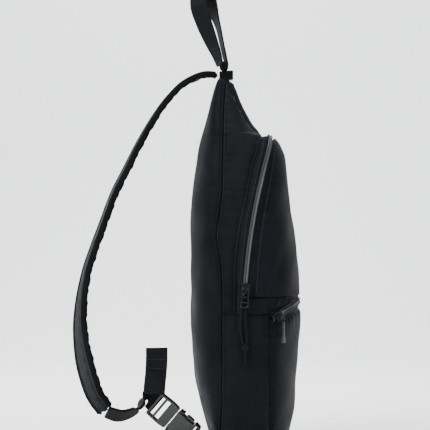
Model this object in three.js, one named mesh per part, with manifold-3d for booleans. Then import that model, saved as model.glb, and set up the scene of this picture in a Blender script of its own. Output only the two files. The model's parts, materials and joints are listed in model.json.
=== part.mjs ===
// A single-strap sling bag in black woven nylon, standing on its flat base.
// Units are millimetres. X runs across the bag, the front faces -Y, the wearer's back is +Y and +Z is up.
// The origin is the middle of the flat underside.
import * as THREE from 'three';
import { mergeVertices } from 'three/addons/utils/BufferGeometryUtils.js';
import Module from 'manifold-3d';

const wasm = await Module();
wasm.setup();

// Driving dimensions
const BODY_HEIGHT = 433;        // underside to the top of the teardrop
const PANEL = 2.4;              // a padded fabric panel
const BASE = 5;                 // stiffened bottom panel
const GAP = 0.3;                // clearance between sewn neighbours
const BAND_Z = 164;             // waist seam between the upper and lower side panels
const FLAP_Z = 183;             // line that the front flap folds along
const WEBBING_WIDTH = 25;
const WEBBING = 1.8;            // webbing thickness
const COIL_HALF = 2.7;          // width of one half of a coil zip
const COIL_HEIGHT = 1.7;
const STRAP_WIDTH = 52;         // padded shoulder strap
const STRAP_THICK = 7;
const CORD = 2.4;               // cord on the main zip pull
const BUCKLE_WIDTH = 33;

const group = new THREE.Group();

// ---------------------------------------------------------------- materials
const material = (color, roughness, metalness = 0) =>
  new THREE.MeshStandardMaterial({ color, roughness, metalness });
const shellNylon = material(0x17181c, 0.72);
const backNylon = material(0x14151a, 0.78);
const zipTape = material(0x1d1e21, 0.8);
const coilNylon = material(0x34363a, 0.45);
const webbingNylon = material(0x121316, 0.7);
const blackNickel = material(0x2a2b2e, 0.3, 0.9);
const acetal = material(0x0e0f11, 0.35);
const foam = material(0x3a3b3e, 0.95);
const cordNylon = material(0x18191b, 0.75);

// ---------------------------------------------------------------- helpers
// A smooth value that passes through [position, value] pairs without overshooting them.
function through(pairs) {
  const x = pairs.map((p) => p[0]);
  const v = pairs.map((p) => p[1]);
  const rise = x.slice(1).map((_, i) => (v[i + 1] - v[i]) / (x[i + 1] - x[i]));
  const slope = x.map((_, i) => {
    if (i === 0) return rise[0];
    if (i === x.length - 1) return rise[i - 1];
    if (rise[i - 1] * rise[i] <= 0) return 0;
    return 2 / (1 / rise[i - 1] + 1 / rise[i]);
  });
  return (at) => {
    if (at <= x[0]) return v[0];
    if (at >= x[x.length - 1]) return v[v.length - 1];
    let i = 0;
    while (at > x[i + 1]) i += 1;
    const h = x[i + 1] - x[i];
    const t = (at - x[i]) / h;
    const t2 = t * t;
    const t3 = t2 * t;
    return v[i] * (2 * t3 - 3 * t2 + 1) + slope[i] * h * (t3 - 2 * t2 + t)
      + v[i + 1] * (3 * t2 - 2 * t3) + slope[i + 1] * h * (t3 - t2);
  };
}

function solid(geometry) {
  const bare = geometry.clone();
  bare.deleteAttribute('normal');
  bare.deleteAttribute('uv');
  const merged = mergeVertices(bare, 1e-4);
  return new wasm.Manifold(new wasm.Mesh({
    numProp: 3,
    vertProperties: new Float32Array(merged.attributes.position.array),
    triVerts: new Uint32Array(merged.index.array),
  }));
}

function toGeometry(manifold) {
  const mesh = manifold.getMesh();
  const geometry = new THREE.BufferGeometry();
  geometry.setAttribute('position', new THREE.BufferAttribute(new Float32Array(mesh.vertProperties), 3));
  geometry.setIndex(new THREE.BufferAttribute(new Uint32Array(mesh.triVerts), 1));
  geometry.computeVertexNormals();
  return geometry;
}

function add(name, geometry, look) {
  const mesh = new THREE.Mesh(geometry, look);
  mesh.name = name;
  group.add(mesh);
  return mesh;
}

const addSolid = (name, manifold, look) => add(name, toGeometry(manifold), look);

function box(low, high) {
  const size = high.map((v, i) => v - low[i]);
  const geometry = new THREE.BoxGeometry(...size);
  geometry.translate(...low.map((v, i) => v + size[i] / 2));
  return geometry;
}

// A closed solid from rings of equal length, each ring anticlockwise seen from the end of the stack.
function stack(rings) {
  const n = rings[0].length;
  const last = rings.length - 1;
  const positions = rings.flat().flatMap((p) => [p.x, p.y, p.z]);
  const index = [];
  for (let i = 0; i < last; i += 1) {
    for (let j = 0; j < n; j += 1) {
      const a = i * n + j;
      const b = i * n + (j + 1) % n;
      index.push(a, b, b + n, a, b + n, a + n);
    }
  }
  for (const [ring, flip] of [[0, true], [last, false]]) {
    const centre = rings[ring].reduce((s, p) => s.add(p), new THREE.Vector3()).divideScalar(n);
    const hub = positions.length / 3;
    positions.push(centre.x, centre.y, centre.z);
    for (let j = 0; j < n; j += 1) {
      const a = ring * n + j;
      const b = ring * n + (j + 1) % n;
      if (flip) index.push(hub, b, a);
      else index.push(hub, a, b);
    }
  }
  const geometry = new THREE.BufferGeometry();
  geometry.setAttribute('position', new THREE.Float32BufferAttribute(positions, 3));
  geometry.setIndex(index);
  return geometry;
}

// A section of [across, out] points carried along stations of {p, across, out}.
function sweep(stations, section) {
  return stack(stations.map((s, i) => {
    const outline = typeof section === 'function' ? section(i / (stations.length - 1)) : section;
    return outline.map(([a, o]) => s.p.clone().addScaledVector(s.across, a).addScaledVector(s.out, o));
  }));
}

const rectangle = (a0, a1, o0, o1) => [[a0, o0], [a1, o0], [a1, o1], [a0, o1]];

// A flat bar with eased edges: the section of a strap or webbing.
function lens(width, thick) {
  const w = width / 2;
  const t = thick / 2;
  const e = Math.min(w * 0.2, thick * 1.5);
  return [[-w, -t * 0.4], [-w + e, -t], [w - e, -t], [w, -t * 0.4], [w, t * 0.4], [w - e, t], [-w + e, t],
    [-w, t * 0.4]];
}

// Stations along a curve whose width direction is given by widthAt(t), made square to the tangent.
function ribbon(curve, count, widthAt) {
  return Array.from({ length: count + 1 }, (_, i) => {
    const t = i / count;
    const tangent = curve.getTangentAt(t);
    const across = widthAt(t).clone();
    across.addScaledVector(tangent, -across.dot(tangent)).normalize();
    return { p: curve.getPointAt(t), across, out: new THREE.Vector3().crossVectors(tangent, across) };
  });
}

const curveThrough = (points) =>
  new THREE.CatmullRomCurve3(points.map((p) => new THREE.Vector3(...p)), false, 'centripetal');

// ---------------------------------------------------------------- outer shape
const halfWidth = through([[0, 73], [8, 82], [30, 94], [70, 101], [120, 104], [180, 102], [240, 94],
  [300, 79], [350, 60], [390, 41], [420, 26], [BODY_HEIGHT, 19]]);
const backY = through([[0, 45], [24, 48], [50, 55], [82, 62], [116, 66], [150, 68], [277, 68], [325, 63],
  [381, 51.5], [425, 39.5], [BODY_HEIGHT, 36]]);
const frontY = through([[0, -40], [24, -44], [56, -48.5], [122, -54], [173, -56.7], [228, -52.7],
  [292, -44.5], [341, -39.8], [354, -35], [362, -29.5], [366, -24], [369, -12], [395, 7], [420, 17.6],
  [BODY_HEIGHT, 23]]);
const BACK_POWER = 2.8;
const FRONT_POWER = 2.2;

// The superellipse section at a height: half width, back, front and the line where the bag is widest.
function section(z, inset = 0) {
  const zUp = Math.min(z + inset, BODY_HEIGHT);
  const w = Math.min(halfWidth(z), halfWidth(zUp)) - inset;
  const b = Math.min(backY(z), backY(zUp)) - inset;
  const f = Math.max(frontY(z), frontY(zUp)) + inset;
  return { w, b, f, c: (b + f) / 2 + 4 * Math.min(1, (b - f) / 100) };
}

function ring(z, inset, count) {
  const { w, b, f, c } = section(z, inset);
  return Array.from({ length: count }, (_, i) => {
    const a = (2 * Math.PI * (i + 0.5)) / count;
    const power = 2 / (Math.cos(a) > 0 ? BACK_POWER : FRONT_POWER);
    const y = Math.sign(Math.cos(a)) * Math.abs(Math.cos(a)) ** power;
    const x = -Math.sign(Math.sin(a)) * Math.abs(Math.sin(a)) ** power;
    return new THREE.Vector3(w * x, c + y * (y > 0 ? b - c : c - f), z);
  });
}

const LEVELS = [0, 10, 28, 62, 118, 190, 245, 290, 325, 346, 358, 366, 369, 392, BODY_HEIGHT];
const AROUND = 26;

function loft(inset, low, high) {
  const levels = [low, ...LEVELS.filter((z) => z > low + 2 && z < high - 1.5), high];
  return solid(stack(levels.map((z) => ring(z, inset, AROUND))));
}

// Distance of the side surface from the middle plane, at a depth and a height.
function sideX(y, z) {
  const { w, b, f, c } = section(z);
  const power = y > c ? BACK_POWER : FRONT_POWER;
  const share = Math.min(1, Math.abs(y - c) / (y > c ? b - c : c - f));
  return w * (1 - share ** power) ** (1 / power);
}

function outward(p) {
  const level = (x, y, z) => {
    const { w, b, f, c } = section(z);
    const power = y > c ? BACK_POWER : FRONT_POWER;
    return (Math.abs(x) / w) ** power + (Math.abs(y - c) / (y > c ? b - c : c - f)) ** power;
  };
  const e = 0.5;
  return new THREE.Vector3(
    level(p.x + e, p.y, p.z) - level(p.x - e, p.y, p.z),
    level(p.x, p.y + e, p.z) - level(p.x, p.y - e, p.z),
    level(p.x, p.y, p.z + e) - level(p.x, p.y, p.z - e),
  ).normalize();
}

const onLeft = (y, z) => new THREE.Vector3(-sideX(y, z), y, z);

// ---------------------------------------------------------------- seam lines, as depth against height
const backSeam = through([[0, 38], [62, 35.5], [190, 35], [252, 38], [309, 34.5], [388, 33], [BODY_HEIGHT, 30]]);
const tapeSeam = through([[150, 17], [204, 16.5], [244, 13.7], [294, 4], [329, -3.2], [349, -9], [367, -13.5],
  [374, -20], [440, -20]]);
const coilLine = through([[150, 10.5], [193, 7.7], [240, 2.5], [266, -0.4], [308, -9.8], [329, -14.6],
  [349, -19.4], [366, -22.5], [374, -26], [440, -26]]);
const flapSeam = through([[150, 0], [194, -2.4], [253, -8.1], [313, -18.7], [334, -22.7], [363, -27],
  [374, -32], [440, -32]]);
const POCKET_SIDE = { y: -28, z: 162.5 };       // where the pocket zip's straight run starts, in side view
const POCKET_FRONT = { y: -57, z: 175.5 };      // its middle, on the front
const POCKET_EDGE = -21;                        // fold between the lower side panel and the pocket
const POCKET_TAPE = 6;                          // visible zip tape on each side of the pocket coil
const pocketSlope = (POCKET_FRONT.z - POCKET_SIDE.z) / (POCKET_FRONT.y - POCKET_SIDE.y);
const pocketZ = (y) => POCKET_SIDE.z + pocketSlope * (y - POCKET_SIDE.y);

// A prism through the bag, from an outline in side view of [y, z] points.
const REACH = 260;
function prism(points) {
  const shape = new THREE.Shape(points.map(([y, z]) => new THREE.Vector2(y, z)));
  const geometry = new THREE.ExtrudeGeometry(shape, { depth: 2 * REACH, bevelEnabled: false });
  geometry.translate(0, 0, -REACH);
  geometry.applyMatrix4(new THREE.Matrix4().makeBasis(
    new THREE.Vector3(0, 1, 0), new THREE.Vector3(0, 0, 1), new THREE.Vector3(1, 0, 0)));
  return solid(geometry);
}

// The slice between two seam lines, from one height to another. Every slice shares the same rows of points,
// so that neighbours keep their clearance along the whole seam.
const ROW = 30;
function between(behind, inFront, low, high) {
  const rows = Array.from({ length: 20 }, (_, i) => i * ROW).filter((z) => z > low + 1 && z < high - 1);
  const heights = [low, ...rows, high];
  const back = heights.map((z) => [behind(z), z]);
  const front = heights.map((z) => [inFront(z), z]).reverse();
  return prism([...front, ...back]);
}

const FAR = 150;
const half = (side) => solid(side < 0 ? box([-REACH, -REACH, -10], [-GAP / 2, REACH, 600])
  : box([GAP / 2, -REACH, -10], [REACH, REACH, 600]));

// ---------------------------------------------------------------- zips: where the coils run
// The main zip's lower leg is an arc of a circle through three points of the side surface.
const LEG = [onLeft(coilLine(193), 193), onLeft(coilLine(250), 250), onLeft(coilLine(305), 305)];

function circleThrough([a, b, c]) {
  const ab = b.clone().sub(a);
  const ac = c.clone().sub(a);
  const axis = new THREE.Vector3().crossVectors(ab, ac);
  const toCentre = new THREE.Vector3().crossVectors(axis, ab).multiplyScalar(ac.lengthSq())
    .add(new THREE.Vector3().crossVectors(ac, axis).multiplyScalar(ab.lengthSq()))
    .divideScalar(2 * axis.lengthSq());
  return { centre: a.clone().add(toCentre), axis: axis.normalize(), start: a.clone() };
}

function turned(circle, angle) {
  const rotation = new THREE.Quaternion().setFromAxisAngle(circle.axis, angle);
  return {
    point: (p) => p.clone().sub(circle.centre).applyQuaternion(rotation).add(circle.centre),
    direction: (d) => d.clone().applyQuaternion(rotation),
  };
}

const mainCircle = circleThrough(LEG);
const LEG_TRAVEL = new THREE.Vector3().subVectors(LEG[0], mainCircle.centre)
  .angleTo(new THREE.Vector3().subVectors(LEG[2], mainCircle.centre));
const legNormal = outward(LEG[0]);
const legTangent = new THREE.Vector3().crossVectors(mainCircle.axis,
  LEG[0].clone().sub(mainCircle.centre)).normalize();

// A station of the leg: the point that the slider's seat has at a travel angle, and its directions.
function legStation(angle) {
  const turn = turned(mainCircle, angle);
  const out = legNormal.clone().addScaledVector(legTangent, -legNormal.dot(legTangent)).normalize();
  const across = new THREE.Vector3().crossVectors(out, legTangent);
  return { p: turn.point(mainCircle.start), along: turn.direction(legTangent),
    out: turn.direction(out), across: turn.direction(across) };
}

const degrees = THREE.MathUtils.degToRad;
const TOP_OF_ZIP = new THREE.Vector3(0, -22.5, 366.6);

function mirrorStation(s) {
  const flip = (v) => new THREE.Vector3(-v.x, v.y, v.z);
  return { p: flip(s.p), across: flip(s.across), out: flip(s.out) };
}

// The whole inverted U: the left leg up, over the top, and the right leg down, from a start to an end angle.
function mainZipStations(leftStart, rightEnd) {
  const legAngles = (from) => [from, ...Array.from({ length: 6 }, (_, i) => (LEG_TRAVEL * (i + 1)) / 6)];
  const shoulder = [[-14.8, 330], [-18.6, 345], [-21.3, 357], [-22.4, 363.6]].map(([y, z]) => onLeft(y, z));
  const bend = new THREE.CatmullRomCurve3([legStation(LEG_TRAVEL * 0.8).p, legStation(LEG_TRAVEL).p,
    ...shoulder, TOP_OF_ZIP.clone(),
    ...shoulder.map((p) => new THREE.Vector3(-p.x, p.y, p.z)).reverse(),
    new THREE.Vector3(-legStation(LEG_TRAVEL).p.x, legStation(LEG_TRAVEL).p.y, legStation(LEG_TRAVEL).p.z)],
  false, 'centripetal');
  const left = legAngles(leftStart).map(legStation);
  const right = legAngles(rightEnd).map(legStation).map(mirrorStation).reverse();
  const steps = 20;
  const over = [];
  for (let i = 1; i < steps; i += 1) {
    const p = bend.getPointAt(i / steps);
    if (Math.abs(p.x) > Math.abs(left[6].p.x) - 3 && p.z < left[6].p.z + 3) continue;
    const tangent = bend.getTangentAt(i / steps);
    const near = Math.min(1, Math.abs(p.x) / Math.abs(left[6].p.x));
    const side = p.x < 0 ? left[6].out : right[0].out;
    const out = outward(p).lerp(side, near ** 6).normalize();
    out.addScaledVector(tangent, -out.dot(tangent)).normalize();
    over.push({ p, across: new THREE.Vector3().crossVectors(out, tangent), out });
  }
  return [...left, ...over, ...right];
}

const SEAT = 0.9;                               // height of the coil's underside above the leg's line
const mainStations = mainZipStations(-degrees(1.35), -degrees(1.35));
const mainGroove = solid(sweep(mainStations, rectangle(-3.6, 3.6, SEAT - 0.4, 9)));

// ---------------------------------------------------------------- bag panels, cut from one shell
const shell = loft(0, BASE + GAP, BODY_HEIGHT).subtract(loft(PANEL, BASE - 1, BODY_HEIGHT - PANEL));
addSolid('bottom_panel', loft(0, 0, BASE), shellNylon);

const backSide = between(() => FAR, (z) => backSeam(z) + GAP / 2, -5, 445);
addSolid('back_panel', shell.intersect(backSide), backNylon);

const inside = loft(PANEL + 2 * GAP, BASE - 1, BODY_HEIGHT - PANEL);
const padSpace = inside.subtract(loft(PANEL + 2 * GAP + 3, BASE - 1, BODY_HEIGHT - PANEL));
const padSide = between(() => FAR, (z) => backSeam(z) + 6, 24, 405);
addSolid('back_foam', padSpace.intersect(padSide), foam);

const gusset = shell.intersect(between((z) => backSeam(z) - GAP / 2, (z) => tapeSeam(z) + GAP / 2,
  BAND_Z + GAP / 2, 445));
const TOP_PANEL = [[-27, 360], [27, 360], [15, 440], [-15, 440]];
const topCutter = (grow) => {
  const shape = new THREE.Shape(TOP_PANEL.map(([x, z]) => new THREE.Vector2(x + Math.sign(x) * grow, z)));
  const geometry = new THREE.ExtrudeGeometry(shape, { depth: 90, bevelEnabled: false });
  geometry.rotateX(Math.PI / 2);
  geometry.translate(0, 24 + grow, 0);
  return solid(geometry);
};
addSolid('top_panel', gusset.intersect(topCutter(0)), shellNylon);
for (const [name, side] of [['left', -1], ['right', 1]]) {
  addSolid(`gusset_${name}`, gusset.subtract(topCutter(GAP)).intersect(half(side)), shellNylon);
  const lower = between((z) => backSeam(z) - GAP / 2, () => POCKET_EDGE + GAP / 2, -5, BAND_Z - GAP / 2);
  addSolid(`side_lower_${name}`, shell.intersect(lower).intersect(half(side)), shellNylon);
}

// Zip tapes, with the channel that the coil and the slider run in
const sliderPath = (low, wide) => solid(sweep(
  Array.from({ length: 7 }, (_, i) => legStation(-degrees(1.6) + (LEG_TRAVEL + degrees(2.6)) * (i / 6))),
  rectangle(-wide, wide, low, 12)));
const sliderChannel = sliderPath(SEAT - 0.5, 6.4);
const bodyTape = shell.intersect(between((z) => tapeSeam(z) - GAP / 2, (z) => coilLine(z) + GAP / 2,
  BAND_Z + GAP / 2, 445));
addSolid('main_tape_body', bodyTape.subtract(mainGroove).subtract(sliderChannel), zipTape);
const flapTape = shell.intersect(between((z) => coilLine(z) - GAP / 2, (z) => flapSeam(z) + GAP / 2,
  FLAP_Z + GAP, 445));
addSolid('main_tape_flap', flapTape.subtract(mainGroove).subtract(sliderChannel), zipTape);
const flap = shell.intersect(between((z) => flapSeam(z) - GAP / 2, () => -FAR, FLAP_Z + GAP, 445));
addSolid('flap_panel', flap.subtract(sliderChannel), shellNylon);

// The strip of the front that stays put between the pocket zip and the flap's fold
const stripSlice = between((z) => coilLine(z) - GAP / 2, () => -FAR, BAND_Z + GAP / 2, FLAP_Z);
const belowTape = prism([[POCKET_EDGE + GAP, 0], [POCKET_EDGE + GAP, pocketZ(POCKET_EDGE) + POCKET_TAPE + GAP],
  [-FAR - 10, pocketZ(-FAR - 10) + POCKET_TAPE + GAP], [-FAR - 10, 0]]);
addSolid('front_strip', shell.intersect(stripSlice).subtract(belowTape).subtract(sliderChannel), shellNylon);

// Pocket: an arched zip over a bellied panel
const pocketBand = (low, high) => prism([[POCKET_EDGE, pocketZ(POCKET_EDGE) + low],
  [POCKET_EDGE, pocketZ(POCKET_EDGE) + high], [-FAR, pocketZ(-FAR) + high], [-FAR, pocketZ(-FAR) + low]]);
const pocketCircle = circleThrough([onLeft(POCKET_SIDE.y, POCKET_SIDE.z),
  new THREE.Vector3(0, frontY(POCKET_FRONT.z), POCKET_FRONT.z),
  onLeft(POCKET_SIDE.y, POCKET_SIDE.z).multiply(new THREE.Vector3(-1, 1, 1))]);
const POCKET_TRAVEL = 2 * Math.asin(sideX(POCKET_SIDE.y, POCKET_SIDE.z)
  / pocketCircle.start.distanceTo(pocketCircle.centre));
const pocketAlong = new THREE.Vector3().crossVectors(pocketCircle.axis,
  pocketCircle.start.clone().sub(pocketCircle.centre)).normalize();
const pocketOut = outward(pocketCircle.start);
pocketOut.addScaledVector(pocketAlong, -pocketOut.dot(pocketAlong)).normalize();
const pocketAcross = new THREE.Vector3().crossVectors(pocketOut, pocketAlong);
function pocketStation(angle) {
  const turn = turned(pocketCircle, angle);
  return { p: turn.point(pocketCircle.start), along: turn.direction(pocketAlong),
    out: turn.direction(pocketOut), across: turn.direction(pocketAcross) };
}
const pocketStations = (before, after, count) => Array.from({ length: count + 1 },
  (_, i) => pocketStation(-before + ((POCKET_TRAVEL + before + after) * i) / count));
const pocketGroove = solid(sweep(pocketStations(degrees(5), degrees(5), 14),
  rectangle(-6.2, 6.2, SEAT - 0.5, 14)));
addSolid('pocket_tape_upper', shell.intersect(pocketBand(GAP / 2, POCKET_TAPE)).subtract(pocketGroove), zipTape);
addSolid('pocket_tape_lower', shell.intersect(pocketBand(-POCKET_TAPE, -GAP / 2)).subtract(pocketGroove),
  zipTape);
const pocketFront = prism([[POCKET_EDGE - GAP / 2, -5],
  [POCKET_EDGE - GAP / 2, pocketZ(POCKET_EDGE) - POCKET_TAPE - GAP],
  [-FAR, pocketZ(-FAR) - POCKET_TAPE - GAP], [-FAR, -5]]);
addSolid('pocket_panel', shell.intersect(pocketFront), shellNylon);
const WALL = { front: -23.5, back: -21.5 };
addSolid('pocket_back_wall', inside.intersect(
  solid(box([-REACH, WALL.front, BASE + GAP], [REACH, WALL.back, 150]))), zipTape);


// ---------------------------------------------------------------- coils and their stops
const coilOn = (stations, side) => sweep(stations, side > 0
  ? rectangle(GAP / 2, COIL_HALF, SEAT, SEAT + COIL_HEIGHT)
  : rectangle(-COIL_HALF, -GAP / 2, SEAT, SEAT + COIL_HEIGHT));
const ABOVE_SLIDER = degrees(1.1);
add('main_coil_body', coilOn(mainStations, 1), coilNylon);
add('main_coil_flap', coilOn(mainZipStations(ABOVE_SLIDER, -degrees(1.25)), -1), coilNylon);
const pocketRun = pocketStations(degrees(3), degrees(3), 18);
add('pocket_coil_upper', coilOn(pocketRun, 1), coilNylon);
add('pocket_coil_lower', coilOn(pocketRun, -1), coilNylon);

// Places a solid that is built on the directions against across, along and out of a station.
function seated(geometry, station) {
  const along = new THREE.Vector3().crossVectors(station.across, station.out);
  const matrix = new THREE.Matrix4().makeBasis(station.across.clone().negate(), along, station.out);
  return geometry.clone().applyMatrix4(matrix.setPosition(station.p));
}
const block = (a, l, o) => box([a[0], l[0], o[0]], [a[1], l[1], o[1]]);
const STOP = block([-COIL_HALF, COIL_HALF], [-1.4, 1.4], [SEAT, SEAT + COIL_HEIGHT + 0.4]);
const mainStop = legStation(-degrees(1.35) - degrees(0.28));
add('main_stop_left', seated(STOP, mainStop), blackNickel);
add('main_stop_right', seated(STOP, mirrorStation(mainStop)), blackNickel);
const pocketStops = { left: -degrees(3) - degrees(0.8), right: POCKET_TRAVEL + degrees(3) + degrees(0.8) };
for (const [name, angle] of Object.entries(pocketStops)) {
  add(`pocket_stop_${name}`, seated(STOP, pocketStation(angle)), blackNickel);
}

// ---------------------------------------------------------------- sliders and pulls
const PLATE = { low: 3.2, high: 4.4 };
const BAR = { low: 6.95, high: 7.95 };
const PULL_OUT = 5.67;
const LINK_OUT = (BAR.low + BAR.high) / 2;
const sliderParts = [
  block([-5, 5], [-5.5, 5.5], [PLATE.low, PLATE.high]),
  block([-5, -3.7], [-5.5, 5.5], [SEAT + 0.3, PLATE.low + 0.1]),
  block([3.7, 5], [-5.5, 5.5], [SEAT + 0.3, PLATE.low + 0.1]),
  block([-0.8, 0.8], [-4.2, -2.6], [PLATE.high - 0.1, BAR.high]),
  block([-0.8, 0.8], [2.6, 4.2], [PLATE.high - 0.1, BAR.high]),
  block([-0.8, 0.8], [-4.2, 4.2], [BAR.low, BAR.high]),
];
const slider = toGeometry(sliderParts.map(solid).reduce((all, part) => all.add(part)));
const sliderSeat = legStation(0);
const pocketSeat = pocketStation(0);
add('main_slider_body', seated(slider, sliderSeat), blackNickel);
add('pocket_slider_body', seated(slider, pocketSeat), blackNickel);

// The metal pull: a long ring that hangs from the bridge, with an eye for its cord
const pullShape = new THREE.Shape([[-2.4, 0.8], [2.4, 0.8], [3.6, -1], [5.2, -19], [3.6, -21.6], [-3.6, -21.6],
  [-5.2, -19], [-3.6, -1]].map((p) => new THREE.Vector2(...p)));
const ringHole = new THREE.Path([[-1.9, -0.8], [-3, -14.6], [3, -14.6], [1.9, -0.8]]
  .map((p) => new THREE.Vector2(...p)));
const eyeHole = new THREE.Path([[-3.1, -16.2], [-3.1, -19.6], [3.1, -19.6], [3.1, -16.2]]
  .map((p) => new THREE.Vector2(...p)));
pullShape.holes.push(ringHole, eyeHole);
const pull = new THREE.ExtrudeGeometry(pullShape, { depth: 1.4, bevelEnabled: false });
pull.translate(0, 0, PULL_OUT - 0.7);
add('main_pull_ring', seated(pull, sliderSeat), blackNickel);

// Two strands of cord hang from the eye and end in one knot
const CORD_ROUTES = {
  main_cord_rear: [[-108.9, 11.4, 168.9], [-109.2, 12.6, 160], [-109.1, 13, 150], [-108.8, 12, 141],
    [-108.6, 9.8, 132.4]],
  main_cord_front: [[-108.9, 8, 168.9], [-109, 7.2, 160], [-108.9, 6.4, 150], [-108.7, 6, 141],
    [-108.6, 6.2, 132.4]],
};
const cordShape = new THREE.Shape(Array.from({ length: 8 }, (_, i) => new THREE.Vector2(
  (CORD / 2) * Math.cos((i * Math.PI) / 4), (CORD / 2) * Math.sin((i * Math.PI) / 4))));
for (const [name, route] of Object.entries(CORD_ROUTES)) {
  add(name, new THREE.ExtrudeGeometry(cordShape, { steps: 7, extrudePath: curveThrough(route) }), cordNylon);
}
const knot = new THREE.SphereGeometry(3.6, 10, 8);
knot.scale(0.85, 1.05, 1);
knot.translate(-108.6, 8, 128.3);
const tail = new THREE.CylinderGeometry(CORD / 2, CORD / 2, 18, 8);
tail.rotateX(Math.PI / 2);
tail.translate(-108.6, 7.4, 117);
addSolid('main_pull_knot', solid(knot).add(solid(tail)), cordNylon);

// The pocket's pull: a link round the bridge bar and a moulded tab, both hanging straight down.
// Its directions are: across, along the zip; along, up; out.
const LINK = { inner: 1.15, outer: 2.35, drop: 5 };
function stadium(radius, drop) {
  const points = [];
  for (let i = 0; i <= 6; i += 1) points.push([radius * Math.cos((i * Math.PI) / 6), radius * Math.sin((i * Math.PI) / 6)]);
  for (let i = 0; i <= 6; i += 1) {
    points.push([-radius * Math.cos((i * Math.PI) / 6), -drop - radius * Math.sin((i * Math.PI) / 6)]);
  }
  return points.map((p) => new THREE.Vector2(...p));
}
const linkShape = new THREE.Shape(stadium(LINK.outer, LINK.drop));
linkShape.holes.push(new THREE.Path(stadium(LINK.inner, LINK.drop).reverse()));
const link = new THREE.ExtrudeGeometry(linkShape, { depth: 1.5, bevelEnabled: false });
link.translate(0, 0, -0.75);
const tabShape = new THREE.Shape([[-2, 0], [2, 0], [2.3, -16], [3.8, -20], [3.4, -23], [-3.4, -23], [-3.8, -20],
  [-2.3, -16]].map((p) => new THREE.Vector2(...p)));
const tab = new THREE.ExtrudeGeometry(tabShape, { depth: 1.8, bevelEnabled: false });
tab.translate(0, 0, -0.9);
const up = new THREE.Vector3(0, 0, 1);
const barCentre = pocketSeat.p.clone().addScaledVector(pocketSeat.out, LINK_OUT);
const linkEnd = barCentre.clone().addScaledVector(pocketSeat.across, -(LINK.drop + LINK.outer + 0.5));
const zipWay = pocketSeat.along.clone().setZ(0).normalize();
const awayFromBag = new THREE.Vector3().crossVectors(zipWay, up);
add('pocket_pull_link', link.applyMatrix4(new THREE.Matrix4().makeBasis(pocketSeat.out, pocketSeat.across,
  pocketSeat.along.clone().negate()).setPosition(barCentre)), blackNickel);
add('pocket_pull_tab', tab.applyMatrix4(new THREE.Matrix4().makeBasis(zipWay, up, awayFromBag)
  .setPosition(linkEnd)), acetal);

// ---------------------------------------------------------------- apex: strap anchor and grab loop
const APEX = { low: BODY_HEIGHT + GAP, high: 443, front: 20, back: 37, half: 16 };
// Its back is a wedge, so that the strap's square end can swing to either side of its point.
const anchorShape = new THREE.Shape([[-APEX.half, APEX.front], [APEX.half, APEX.front], [APEX.half, APEX.front + 3],
  [0.5, APEX.back - 0.4], [-0.5, APEX.back - 0.4], [-APEX.half, APEX.front + 3]].map((p) => new THREE.Vector2(...p)));
const anchor = new THREE.ExtrudeGeometry(anchorShape, { depth: APEX.high - APEX.low, bevelEnabled: false });
add('apex_anchor', anchor.translate(0, 0, APEX.low), webbingNylon);

// The loop's two ends are folded into a roll, which it tips on
const ROLL = { radius: 5.5, y: 30.5, z: APEX.high + GAP + 5.5 };
const X = new THREE.Vector3(1, 0, 0);
const turnedWidth = (angle, square) => X.clone().multiplyScalar(Math.cos(angle))
  .addScaledVector(square, Math.sin(angle));
const loopCurve = curveThrough([[-3, 35, ROLL.z], [-4, 38.5, 460], [-6, 46.5, 480], [-7, 55, 502],
  [-5, 60.5, 522], [0, 58.5, 536], [4, 51.5, 534], [7, 44.5, 518], [6, 37.5, 497], [4, 32.5, 474],
  [3, 27, ROLL.z]]);
const loopTurn = through([[0, 0.25], [0.25, 0.75], [0.45, 0.9], [0.6, 0.6], [0.75, 0.2], [1, 0.12]]);
const inPlane = new THREE.Vector3(0, 1, -0.35).normalize();
const loopStations = ribbon(loopCurve, 26, (t) => turnedWidth(loopTurn(t), inPlane));
const rollShape = new THREE.CylinderGeometry(ROLL.radius, ROLL.radius, 26, 24);
rollShape.rotateZ(Math.PI / 2);
rollShape.translate(0, ROLL.y, ROLL.z);
addSolid('grab_loop', solid(sweep(loopStations, lens(WEBBING_WIDTH, WEBBING))).add(solid(rollShape)), webbingNylon);

// ---------------------------------------------------------------- shoulder strap
const ANCHOR = { x: -58, y: 41, z: 16 };        // where the strap is sewn in at the lower corner
const STRAP_LINE = [[APEX.back + 1, 438.6], [53.8, 439], [66.7, 434.5], [79.6, 427], [92.4, 414.5],
  [103, 401], [116.5, 380], [130, 355.7], [142.6, 330], [157.5, 299.5], [170.3, 264.4], [180.5, 236],
  [188, 212], [193.8, 180], [195.4, 150], [192.5, 121], [186.5, 95], [177.5, 70], [165, 52]];
const lean = (share) => ANCHOR.x * 0.95 * THREE.MathUtils.smoothstep(share, 0.1, 1.05);
const strapCurve = curveThrough(STRAP_LINE.map(([y, z], i) => [lean(i / (STRAP_LINE.length - 1)), y, z]));
const strapTwist = through([[0, 0.04], [0.3, 0.1], [0.6, 0.14], [0.8, 0.3], [0.93, 0.5], [1, 0.7]]);
const strapWidth = through([[0, 26], [0.05, 34], [0.14, STRAP_WIDTH], [0.84, STRAP_WIDTH], [0.95, 36], [1, 27]]);
const strapSquare = (t) => {
  const tangent = strapCurve.getTangentAt(t);
  return new THREE.Vector3(0, -tangent.z, tangent.y).normalize();
};
const strapStations = ribbon(strapCurve, 26, (t) => turnedWidth(strapTwist(t), strapSquare(t)));
const layer = (low, high) => (t) => {
  const w = strapWidth(t) / 2;
  const ease = Math.min(2.5, w * 0.15);
  const outer = Math.abs(high) > Math.abs(low) ? high : low;
  const inner = outer === high ? low : high;
  const points = [[-w, inner], [-w / 3, inner], [w / 3, inner], [w, inner], [w - ease, outer], [-w + ease, outer]];
  return outer > inner ? points : points.reverse();
};
const LAYER_GAP = 1.2;                            // room that the twist of the pad needs
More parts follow.
